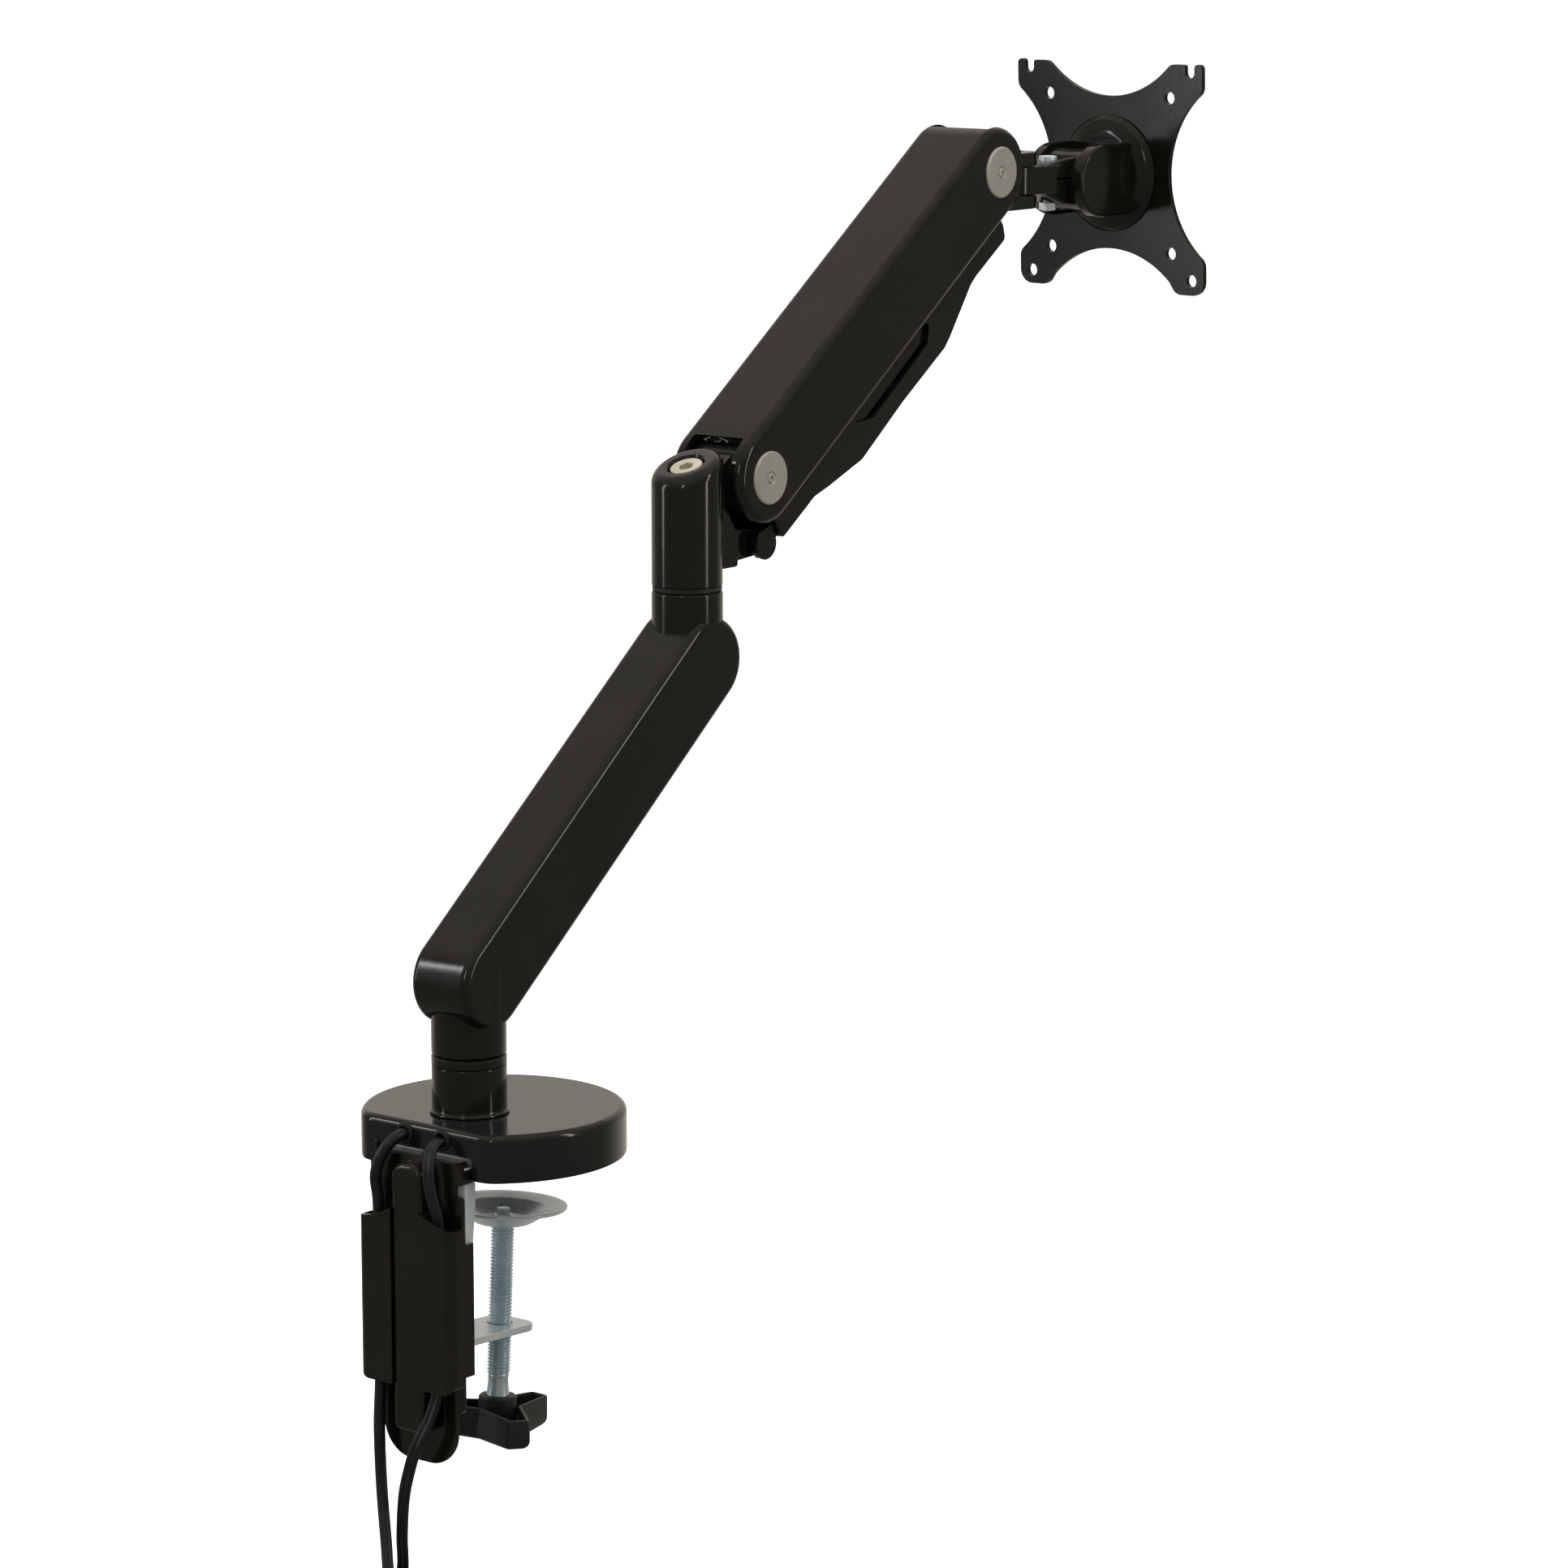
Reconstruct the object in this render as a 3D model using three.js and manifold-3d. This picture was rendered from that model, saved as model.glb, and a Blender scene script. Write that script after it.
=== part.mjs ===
// Desk-clamp monitor arm: hub base, lower arm, sprung parallelogram upper arm, pan/tilt head, VESA plate.
// Millimetres, +Z up. The origin is the desk contact point under the base, on the post axis.
// +Y points to the screen, the flat back of the base and the clamp are on the -Y side.
import * as THREE from "three";
import { mergeVertices } from "three/addons/utils/BufferGeometryUtils.js";
import Module from "manifold-3d";

const wasm = await Module();
wasm.setup();

const GAP = 0.3; // clearance between touching pieces

// Base housing.
const BASE_R = 57.5;
const BASE_CY = 16;
const BASE_BACK = -30;
const BASE_H = 21.4;
const BASE_WALL = 2.5;
const CABLE_X = 10.5;
const CABLE_Z = 16.3;
const POST_R = 16.25;
const POST_TOP = 42.7;
const RING_TOP = 47.3;
const SPINDLE_R = 10;

// Lower arm: a round-ended bar that climbs from the post to the elbow.
const LOWER_END = [0, 79];
const UPPER_END = [150.8, 199.5];
const BAR_R = 20;
const BAR_HALF = 16;
const ELBOW_Y = 150.8;
const ELBOW_COLLAR_TOP = 230.2;

// Upper arm parallelogram.
const LIFT = [184.7, 278.9]; // main pivot at the elbow, Y and Z
const LIFT_DEG = 35.63;
const ARM_L = 217.3;
const ARM_R = 21;
const ARM_HALF = 20.5;
const ARM_INNER = 16.8;
const ARM_ROOF = 17.5;
const LINK_DY = 4.6; // link pivots, measured from the main pivots in Y and Z
const LINK_DZ = -30.5;
const LINK_S = -14.2; // the same offset along and across the arm
const LINK_N = -27.6;
const SPRING_N = -10;

// Head.
const PAN_Y = 401.7;
const PAN_DEG = -5;
const TILT_Y = 46; // from the pan axis
const TILT_Z = 396.8;
const TILT_DEG = 2;
const PLATE_FRONT = 28.1; // from the tilt axis
const PLATE_T = 2.5;
const PLATE_CZ = 1.1; // plate centre above the tilt axis

// Desk clamp.
const SCREW_Y = 18.4;
const SCREW_Z = -77;
const SCREW_DEG = -3.4;
const SCREW_R = 5.2;

// Cords: radius and mean radius of the coils that hang under the desk edge.
const CORD_R = 2.55;
const TWIN_HALF = [2.75, 1.45];
const COIL_R = 26;
const COIL_SECTION = 7.75;
const COIL_Z = -216;
const COILS = { left: [-12, -51], right: [-6, -31] };

const rad = (deg) => (deg * Math.PI) / 180;

// ---- solids ------------------------------------------------------------------------------------

function merged(geometry) {
  const bare = geometry.clone();
  bare.deleteAttribute("normal");
  bare.deleteAttribute("uv");
  return mergeVertices(bare, 1e-4);
}

function toSolid(geometry) {
  const g = merged(geometry);
  const triVerts = new Uint32Array(g.index.array);
  const mesh = new wasm.Mesh({
    numProp: 3,
    vertProperties: g.attributes.position.array,
    triVerts,
  });
  const made = new wasm.Manifold(mesh);
  if (made.volume() >= 0) return made;
  for (let i = 0; i < triVerts.length; i += 3) {
    [triVerts[i + 1], triVerts[i + 2]] = [triVerts[i + 2], triVerts[i + 1]];
  }
  return new wasm.Manifold(
    new wasm.Mesh({
      numProp: 3,
      vertProperties: g.attributes.position.array,
      triVerts,
    }),
  );
}

function toGeometry(solid) {
  const m = solid.getMesh();
  const g = new THREE.BufferGeometry();
  const flat = new Float32Array(m.triVerts.length * 3);
  for (let i = 0; i < m.triVerts.length; i++) {
    for (let k = 0; k < 3; k++) {
      flat[3 * i + k] = m.vertProperties[m.triVerts[i] * m.numProp + k];
    }
  }
  g.setAttribute("position", new THREE.BufferAttribute(flat, 3));
  g.computeVertexNormals();
  return g;
}

const join = (...list) => toGeometry(list.map(toSolid).reduce((a, b) => a.add(b)));
const cut = (first, ...rest) => toGeometry(rest.map(toSolid).reduce((a, b) => a.subtract(b), toSolid(first)));
const common = (...list) => toGeometry(list.map(toSolid).reduce((a, b) => a.intersect(b)));

// ---- shapes ------------------------------------------------------------------------------------

const AXES = {
  x: new THREE.Matrix4().makeBasis(
    new THREE.Vector3(0, 1, 0),
    new THREE.Vector3(0, 0, 1),
    new THREE.Vector3(1, 0, 0),
  ),
  y: new THREE.Matrix4().makeBasis(
    new THREE.Vector3(1, 0, 0),
    new THREE.Vector3(0, 0, 1),
    new THREE.Vector3(0, -1, 0),
  ),
  z: new THREE.Matrix4(),
};

// The outline as a plain polygon, without points that nearly coincide.
function flattened(shape, curve) {
  const { shape: outline, holes } = shape.extractPoints(curve);
  const tidy = (points) => points.filter((p, i) => p.distanceTo(points[(i + 1) % points.length]) > 0.02);
  const flat = new THREE.Shape(tidy(outline));
  flat.holes = holes.map((h) => new THREE.Path(tidy(h)));
  return flat;
}

// A prism of a flat outline. Along x the outline is (Y, Z), along y it is (X, Z), along z it is (X, Y).
function prism(axis, shape, from, to, round = 0, steps = 2, curve = 4) {
  const depth = to - from;
  const g = new THREE.ExtrudeGeometry(flattened(shape, curve), {
    depth: depth - 2 * round,
    bevelEnabled: round > 0,
    bevelThickness: round,
    bevelSize: round,
    bevelOffset: -round,
    bevelSegments: steps,
  });
  g.translate(0, 0, round);
  g.applyMatrix4(AXES[axis]);
  if (axis === "x") g.translate(from, 0, 0);
  if (axis === "y") g.translate(0, to, 0);
  if (axis === "z") g.translate(0, 0, from);
  return g;
}

// A turned piece: profile is [radius, height] pairs, closed on the axis or on itself.
function turned(axis, profile, at = [0, 0, 0], segments = 20) {
  const points = profile.map(([r, h]) => new THREE.Vector2(r, h));
  const g = new THREE.LatheGeometry(points, segments);
  if (axis === "z") g.rotateX(Math.PI / 2);
  if (axis === "x") g.rotateZ(-Math.PI / 2);
  g.translate(...at);
  return g;
}

const rod = (axis, r, from, to, at, segments = 16) =>
  turned(axis, [[0, from], [r, from], [r, to], [0, to]], at, segments);

const tube = (axis, r, inner, from, to, at, segments = 16) =>
  turned(axis, [[inner, from], [r, from], [r, to], [inner, to], [inner, from]], at, segments);

const block = (low, high) =>
  new THREE.BoxGeometry(high[0] - low[0], high[1] - low[1], high[2] - low[2]).translate(
    (low[0] + high[0]) / 2,
    (low[1] + high[1]) / 2,
    (low[2] + high[2]) / 2,
  );

const polygon = (points) => new THREE.Shape(points.map(([a, b]) => new THREE.Vector2(a, b)));

// An outline whose corners are rounded, each by its own radius.
function rounded(points, radius) {
  const shape = new THREE.Shape();
  const n = points.length;
  points.forEach((p, i) => {
    const r = Array.isArray(radius) ? radius[i] : radius;
    const corner = new THREE.Vector2(...p);
    const before = new THREE.Vector2(...points[(i + n - 1) % n]).sub(corner);
    const after = new THREE.Vector2(...points[(i + 1) % n]).sub(corner);
    const half = Math.abs(before.angleTo(after)) / 2;
    const reach = Math.min(r / Math.tan(half), 0.48 * before.length(), 0.48 * after.length());
    const start = corner.clone().add(before.setLength(reach));
    const end = corner.clone().add(after.setLength(reach));
    if (i) shape.lineTo(start.x, start.y);
    else shape.moveTo(start.x, start.y);
    if (reach > 0.01) shape.quadraticCurveTo(corner.x, corner.y, end.x, end.y);
  });
  shape.closePath();
  return shape;
}

// A round-ended bar between two centres.
function stadium(a, b, r, rb = r) {
  const shape = new THREE.Shape();
  const angle = Math.atan2(b[1] - a[1], b[0] - a[0]);
  const side = Math.PI / 2;
  shape.absarc(a[0], a[1], r, angle + side, angle + 3 * side, false);
  shape.absarc(b[0], b[1], rb, angle - side, angle + side, false);
  shape.closePath();
  return shape;
}

// ---- scene graph -------------------------------------------------------------------------------

const FINISH = {
  gloss: { color: 0x12110f, roughness: 0.16, metalness: 0.0 },
  paint: { color: 0x131210, roughness: 0.2, metalness: 0.0 },
  matt: { color: 0x1a1a1a, roughness: 0.55, metalness: 0.0 },
  rubber: { color: 0x0d0d0d, roughness: 0.85, metalness: 0.0 },
  steel: { color: 0xb4b6b8, roughness: 0.35, metalness: 1.0 },
  zinc: { color: 0xaab2bd, roughness: 0.32, metalness: 1.0 },
  nickel: { color: 0xa5a096, roughness: 0.38, metalness: 1.0 },
  brass: { color: 0xb6aa8c, roughness: 0.34, metalness: 1.0 },
  cord: { color: 0x161616, roughness: 0.5, metalness: 0.0 },
};

const arm = new THREE.Group();

function piece(name, geometry, finish, parent = arm) {
  const mesh = new THREE.Mesh(geometry, new THREE.MeshStandardMaterial(FINISH[finish]));
  mesh.name = name;
  parent.add(mesh);
  return mesh;
}

// ---- base --------------------------------------------------------------------------------------

// The D-shaped plan of the base, drawn smaller by inset.
function basePlan(inset, corner = 4) {
  const r = BASE_R - inset;
  const back = BASE_BACK + inset - BASE_CY;
  const reach = Math.sqrt(r * r - back * back);
  const first = Math.atan2(back, reach) + corner / r;
  const last = Math.PI - first;
  const shape = new THREE.Shape();
  shape.absarc(0, BASE_CY, r, first, last, false);
  const y = back + BASE_CY;
  shape.quadraticCurveTo(-reach, y, -reach + corner, y);
  shape.lineTo(reach - corner, y);
  shape.quadraticCurveTo(reach, y, r * Math.cos(first), BASE_CY + r * Math.sin(first));
  return shape;
}

function baseShell() {
  const outer = prism("z", basePlan(0), -8, BASE_H, 3, 2, 10);
  const inner = prism("z", basePlan(BASE_WALL), -9, BASE_H - BASE_WALL, 0, 1, 10);
  const below = block([-70, -60, -20], [70, 90, 0.6]);
  const bracketGate = block([-27, -40, -1], [27, -20, 10.5]);
  const parts = [inner, below, bracketGate, rod("z", SPINDLE_R + 0.4, 10, 30, [0, 0, 0])];
  for (const side of [-1, 1]) {
    parts.push(rod("y", 4.2, -40, -20, [side * CABLE_X, 0, CABLE_Z], 12));
    parts.push(block([side * 24 - 6.9, 60, 8.2], [side * 24 + 6.9, 80, 14.6]));
    parts.push(rod("y", 3.4, 60, 80, [side * 8, 0, 11.4], 12));
  }
  return cut(outer, ...parts);
}

function basePlate() {
  const plate = prism("z", basePlan(BASE_WALL + 0.5), 2.5, 10, 0, 1, 8);
  const pocket = block([-22.5, -40, 0], [22.5, 20.5, 6.6]);
  const bolts = [-1, 1].map((s) => rod("z", 3.2, 0, 20, [s * 14, 8, 0], 16));
  const ports = block([-31.5, 51, 8.1], [31.5, 80, 12]);
  return cut(plate, pocket, block([-27, -40, 0], [27, -27.6, 12]), ports, ...bolts);
}

piece("base_shell", baseShell(), "gloss");
// The pad stops short of the bracket's wings, so a desk can lie flat against it.
const padBlank = prism("z", basePlan(3), 0, 2.2, 0, 1, 8);
piece("base_pad", cut(padBlank, block([-70, -40, -1], [70, -25.02, 3])), "rubber");
piece("base_plate", basePlate(), "steel");
piece(
  "base_post",
  turned("z", [
    [SPINDLE_R + GAP, BASE_H + GAP],
    [POST_R + 0.5, BASE_H + GAP],
    [POST_R, BASE_H + 2],
    [POST_R, POST_TOP - 0.8],
    [POST_R - 0.8, POST_TOP],
    [SPINDLE_R + GAP, POST_TOP],
    [SPINDLE_R + GAP, BASE_H + GAP],
  ]),
  "gloss",
);
piece(
  "swivel_washer",
  turned("z", [
    [SPINDLE_R + GAP, POST_TOP + GAP],
    [POST_R - 0.6, POST_TOP + GAP],
    [POST_R, POST_TOP + 1],
    [POST_R, RING_TOP - 0.8],
    [POST_R - 0.6, RING_TOP - GAP],
    [SPINDLE_R + GAP, RING_TOP - GAP],
    [SPINDLE_R + GAP, POST_TOP + GAP],
  ]),
  "matt",
);
piece("base_spindle", rod("z", SPINDLE_R, 10.3, 72, [0, 0, 0], 24), "steel");

// Socket outlets let into the curved front wall.
function usbPort(side) {
  const x = side * 24;
  const shell = block([x - 6.6, 52, 8.5], [x + 6.6, 65.6, 14.3]);
  const mouth = block([x - 5.9, 53, 9.1], [x + 5.9, 70, 13.7]);
  return cut(shell, mouth);
}
for (const [side, hand] of [[-1, "left"], [1, "right"]]) {
  piece("usb_port_" + hand, usbPort(side), "steel");
  const jack = turned("y", [
    [1.8, 60],
    [3.1, 60],
    [3.1, 71.6],
    [2.6, 72.2],
    [1.8, 72.2],
    [1.8, 60],
  ], [side * 8, 0, 11.4], 12);
  piece("audio_jack_" + hand, jack, "nickel");
  const grommet = turned("y", [
    [3.05, -31.4],
    [3.6, -31.4],
    [3.9, -30.9],
    [3.9, -24.5],
    [3.05, -24.5],
    [3.05, -31.4],
  ], [side * CABLE_X, 0, CABLE_Z], 12);
  piece("cable_grommet_" + hand, grommet, "rubber");
}

// ---- desk clamp --------------------------------------------------------------------------------

// Everything that leans with the screw: the group's origin is where the screw crosses the tongue.
const lean = new THREE.Group();
lean.position.set(0, SCREW_Y, SCREW_Z);
lean.rotation.x = rad(SCREW_DEG);
arm.add(lean);

function clampBracket() {
  const back = prism("y", rounded([[-25, -86], [25, -86], [25, 6.2], [-25, 6.2]], [5, 5, 0, 0]), -32, -28.3);
  const flange = block([-22, -30, 2.5], [22, 20, 6.2]);
  const tongue = prism("z", rounded([[-12, -49], [12, -49], [12, 12], [-12, 12]], [0, 0, 6, 6]), -3.3, 0);
  const gusset = prism("x", polygon([[-47.5, -0.5], [-47.5, -9], [-38, -0.5]]), -12, 12);
  // Folded wings along both edges of the back sheet, tapering downwards.
  const wing = [[-30, -0.4], [-25.2, -0.4], [-25.6, -12], [-27.4, -30], [-28.2, -60], [-30, -60]];
  const wings = [[22.2, 25], [-25, -22.2]].map(([a, b]) => prism("x", polygon(wing), a, b));
  const screwHole = rod("z", SCREW_R + 0.4, -10, 10, [0, 0, 0], 24);
  const turn = new THREE.Matrix4().makeRotationX(rad(SCREW_DEG)).setPosition(0, SCREW_Y, SCREW_Z);
  for (const g of [tongue, gusset, screwHole]) g.applyMatrix4(turn);
  const bolts = [-1, 1].map((s) => rod("z", 3.2, 0, 20, [s * 14, 8, 0], 16));
  return cut(join(back, flange, tongue, gusset, ...wings), screwHole, ...bolts);
}
piece("clamp_bracket", clampBracket(), "zinc");

for (const [side, hand] of [[-1, "left"], [1, "right"]]) {
  const bolt = turned("z", [
    [0, 2.6],
    [2.9, 2.6],
    [2.9, 10.4],
    [5.4, 10.4],
    [5.4, 13.4],
    [4.9, 13.9],
    [0, 13.9],
  ], [side * 14, 8, 0], 18);
  piece("bracket_bolt_" + hand, bolt, "zinc");
}

// Screw: thread envelope with a turned-down nose and a plain tail that the knob grips.
piece(
  "clamp_screw",
  turned("z", [
    [0, -32],
    [4.5, -32],
    [4.5, -24.6],
    [SCREW_R, -23.6],
    [SCREW_R, 42.6],
    [SCREW_R - 0.8, 43.4],
    [3.2, 43.4],
    [3.2, 46.5],
    [0, 46.5],
  ], [0, 0, 0], 24),
  "zinc",
  lean,
);

// Three-lobed hand knob, open at the top between its hub and rim. Its notches widen upwards.
function lobes(reach, half, waist) {
  const corners = [];
  for (const turn of [90, 210, 330]) {
    const c = Math.cos(rad(turn));
    const s = Math.sin(rad(turn));
    corners.push([reach * c + half * s, reach * s - half * c]);
    corners.push([reach * c - half * s, reach * s + half * c]);
    corners.push([waist * Math.cos(rad(turn + 60)), waist * Math.sin(rad(turn + 60))]);
  }
  return rounded(corners, 2.2);
}
function clampKnob() {
  const foot = prism("z", lobes(28.4, 6, 14), -50.6, -44, 1.6, 1);
  const rim = prism("z", lobes(29, 4.8, 10.6), -46, -37);
  const bowl = prism("z", lobes(27.4, 3.2, 8.2), -46.5, -30);
  const hub = rod("z", 8.4, -49, -32.3, [0, 0, 0], 20);
  const socket = rod("z", 4.8, -33, -20, [0, 0, 0], 20);
  return cut(join(cut(join(foot, rim), bowl), hub), socket);
}
piece("clamp_knob", clampKnob(), "matt", lean);

// Dished pressure pad, pressed up against the underside of the desk, and the nut that holds it.
piece(
  "pressure_disc",
  turned("z", [
    [3.6, 44.5],
    [12, 44.5],
    [14.6, 46],
    [20, 49.8],
    [25.4, 51.2],
    [28, 51.5],
    [28, 53],
    [25.6, 53],
    [24.6, 52.7],
    [19.2, 51.3],
    [13.4, 47.3],
    [11.2, 46.1],
    [3.6, 46.1],
    [3.6, 44.5],
  ], [0, 0, 0], 24),
  "zinc",
  lean,
);
piece(
  "disc_stud",
  turned("z", [
    [0, 46.8],
    [3.5, 46.8],
    [3.5, 46.3],
    [5.6, 46.3],
    [5.6, 48.2],
    [3, 48.4],
    [3, 50.7],
    [2.6, 51],
    [0, 51],
  ], [0, 0, 0], 18),
  "zinc",
  lean,
);

// ---- cable cover on the back of the clamp ------------------------------------------------------

function cableSpine() {
  const plate = prism("y", rounded([[-25, -101], [25, -101], [25, -6], [-25, -6]], 2), -34.5, -32.4);
  const lobe = rounded([[-20.8, -126.6], [20.8, -126.6], [20.8, -95], [-20.8, -95]], [17, 17, 0, 0]);
  const apron = prism("y", lobe, -34.5, -32.4);
  const crown = [[-21, -8], [21, -8], [21, -0.5], [25.8, -0.5], [25.8, 5.5], [22, 8.2]];
  const hoodSide = [...crown, [-22, 8.2], [-25.8, 5.5], [-25.8, -0.5], [-21, -0.5]];
  const hood = cut(
    prism("y", polygon(hoodSide), -35.2, -28.1),
    block([-25.2, -32.2, -10], [25.2, -20, 6.35]),
  );
  const ridge = rounded([[-8.6, -112], [8.6, -112], [8.6, 6.5], [-8.6, 6.5]], [3, 3, 6, 6]);
  const column = prism("y", ridge, -42.2, -33, 2.4, 2, 4);
  const tabs = [];
  for (const side of [-1, 1]) {
    for (const [low, high] of [[-25, -12], [-98.5, -86]]) {
      const x = side * 26.1;
      tabs.push(block([x - 0.9, -34.5, low], [x + 0.9, -28.7, high]));
      tabs.push(block([Math.min(x, side * 24), -34.5, low], [Math.max(x, side * 24), -32.4, high]));
    }
  }
  return join(plate, apron, hood, column, ...tabs);
}
piece("cable_spine", cableSpine(), "matt");

// Clip-on covers: a C-shaped channel each side of the column, open at both ends for its cord.
function clipCover(side) {
  const front = [[7.8, -43.6], [26.8, -43.6], [26.8, -28.9], [25.3, -28.9], [25.3, -42.1]];
  const back = [[10.6, -42.1], [10.6, -35], [9.1, -35], [9.1, -42.4], [7.8, -42.6]];
  const plan = rounded([...front, ...back], [0.4, 4, 0, 0, 3, 0, 0, 0, 0, 0]);
  const channel = prism("z", plan, -95, -5, 0, 1, 5);
  const face = prism(
    "y",
    rounded([[7, -91.5], [26.9, -91.5], [26.9, -19.6], [20, -18.5], [13.5, -16.4], [7, -13]], [1, 6, 1, 6, 4, 1]),
    -50,
    -20,
    0,
    1,
    4,
  );
  const relief = [block([24, -34.9, -26.4], [30, -20, 0]), block([24, -34.9, -100], [30, -20, -84.6])];
  const g = cut(common(channel, face), ...relief);
  return side > 0 ? g : toGeometry(toSolid(g.clone()).mirror([1, 0, 0]));
}
piece("clip_cover_left", clipCover(-1), "matt");
piece("clip_cover_right", clipCover(1), "matt");

// ---- cords -------------------------------------------------------------------------------------

// Centre lines from inside the base to the top of each coil.
const ROUTES = {
  left: [
    [-CABLE_X, -24.8, CABLE_Z],
    [-CABLE_X, -30, CABLE_Z],
    [-11.2, -36.6, 14.6],
    [-14.2, -40.4, 9],
    [-18.2, -40.6, -1],
    [-18.8, -38.6, -12],
    [-18.6, -38.4, -30],
    [-18.6, -38.4, -60],
    [-18.9, -38.5, -92],
    [-19.4, -39.2, -112],
    [-18.6, -39.7, -130],
    [-17, -40.6, -144],
    [-12, -44.2, -162],
    [-5, -49.6, -180],
  ],
  right: [
    [CABLE_X, -24.8, CABLE_Z],
    [CABLE_X, -30, CABLE_Z],
    [10.9, -37, 14],
    [12, -40.8, 7],
    [13.4, -41, -4],
    [15.2, -38.9, -16],
    [15.6, -38.4, -34],
    [14.6, -38.4, -60],
    [13.6, -38.4, -80],
    [13.5, -38.5, -93],
    [11.4, -41.2, -104],
    [7.4, -45.3, -116],
    [1, -43.6, -130],
    [-6.2, -38.8, -144],
    [-10.4, -35.6, -162],
    [-14, -31.8, -180],
  ],
};

function cordTube(points, section, steps) {
  const path = new THREE.CatmullRomCurve3(points.map((p) => new THREE.Vector3(...p)));
  return new THREE.ExtrudeGeometry(section, { steps, bevelEnabled: false, extrudePath: path });
}

function oval(a, b, sides) {
  const points = [];
  for (let i = 0; i < sides; i++) {
    const t = (2 * Math.PI * i) / sides;
    points.push([a * Math.cos(t), b * Math.sin(t)]);
  }
  return polygon(points);
}

for (const [hand, turnWay] of [["left", 1], ["right", -1]]) {
  const [cx, cy] = COILS[hand];
  const section = hand === "left" ? oval(CORD_R, CORD_R, 8) : oval(...TWIN_HALF, 8);
  piece("cable_" + hand, cordTube(ROUTES[hand], section, 28), "cord");

  const ring = [];
  for (let i = 0; i <= 8; i++) {
    const a = rad(22.5 + 45 * i);
    ring.push([COIL_R + COIL_SECTION * Math.cos(a), COIL_SECTION * Math.sin(a)]);
  }
  ring[8] = ring[0];
  piece("coil_" + hand, turned("y", ring, [cx, cy, COIL_Z], 20), "cord");

  const strap = tube("x", 9.7, 8.7, -4, 4, [cx, cy, COIL_Z + COIL_R], 20);
  piece("tie_" + hand, strap, "matt");

  // The far end leaves the coil straight down from its outer turn.
  const x = cx + turnWay * (COIL_R + 5.12);
  const tail = [
    [x, cy, COIL_Z - 25.5],
    [x, cy, COIL_Z - 31],
    [x, cy, COIL_Z - 38],
  ];
  piece("tail_" + hand, cordTube(tail, section, 3), "cord");
}

// USB plug: moulded grip and a steel tongue shell.
function usbPlug() {
  const x = COILS.left[0] + COIL_R + 5.12;
  const y = COILS.left[1];
  const z = COIL_Z - 38.3;
  const grip = prism("z", rounded([[x - 7.8, y - 4], [x + 7.8, y - 4], [x + 7.8, y + 4], [x - 7.8, y + 4]], 2), z - 26, z - 6, 1, 2, 4);
  const neck = turned("z", [[0, -8], [4.4, -8], [3.4, 0], [0, 0]], [x, y, z], 16);
  const shell = block([x - 6, y - 2.25, z - 38], [x + 6, y + 2.25, z - 25.5]);
  return join(grip, neck, shell);
}
piece("plug_usb", usbPlug(), "matt");

// Audio plug: moulded sleeve with a stepped 3.5 mm pin.
piece(
  "plug_audio",
  turned("z", [
    [0, 0],
    [3.3, 0],
    [4.2, -6],
    [4.6, -8],
    [4.6, -21],
    [3.6, -22],
    [1.75, -22.2],
    [1.75, -34],
    [1.1, -35],
    [1.6, -36],
    [0, -37],
  ].reverse(), [COILS.right[0] - COIL_R - 5.12, COILS.right[1], COIL_Z - 38.3], 18),
  "matt",
);

// ---- lower arm ---------------------------------------------------------------------------------

function lowerArm() {
  const bar = prism("x", stadium(LOWER_END, UPPER_END, BAR_R), -BAR_HALF, BAR_HALF, 3.6, 2, 6);
  const foot = turned("z", [
    [0, RING_TOP + GAP],
    [POST_R - 0.7, RING_TOP + GAP],
    [POST_R, RING_TOP + 1],
    [POST_R, 84],
    [0, 84],
  ], [0, 0, 0], 24);
  const head = turned("z", [
    [0, 195],
    [BAR_HALF, 195],
    [BAR_HALF, ELBOW_COLLAR_TOP - 0.8],
    [BAR_HALF - 0.7, ELBOW_COLLAR_TOP],
    [0, ELBOW_COLLAR_TOP],
  ], [0, ELBOW_Y, 0], 24);
  const footBore = rod("z", SPINDLE_R + GAP, 40, 72.4, [0, 0, 0], 24);
  const headBore = rod("z", SPINDLE_R + GAP, 204.7, 240, [0, ELBOW_Y, 0], 24);
  return cut(join(bar, foot, head), footBore, headBore);
}
piece("lower_arm", lowerArm(), "gloss");
piece("elbow_spindle", rod("z", SPINDLE_R, 205, 262, [0, ELBOW_Y, 0], 24), "steel");
piece("elbow_washer", tube("z", 15.6, SPINDLE_R + GAP, 230.5, 232.9, [0, ELBOW_Y, 0], 24), "matt");

// ---- elbow knuckle -----------------------------------------------------------------------------

const KNUCKLE_LEAN = -22; // slant of the knuckle's top face, low at the back
const linkLow = [LIFT[0] + LINK_DY, LIFT[1] + LINK_DZ];

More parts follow.
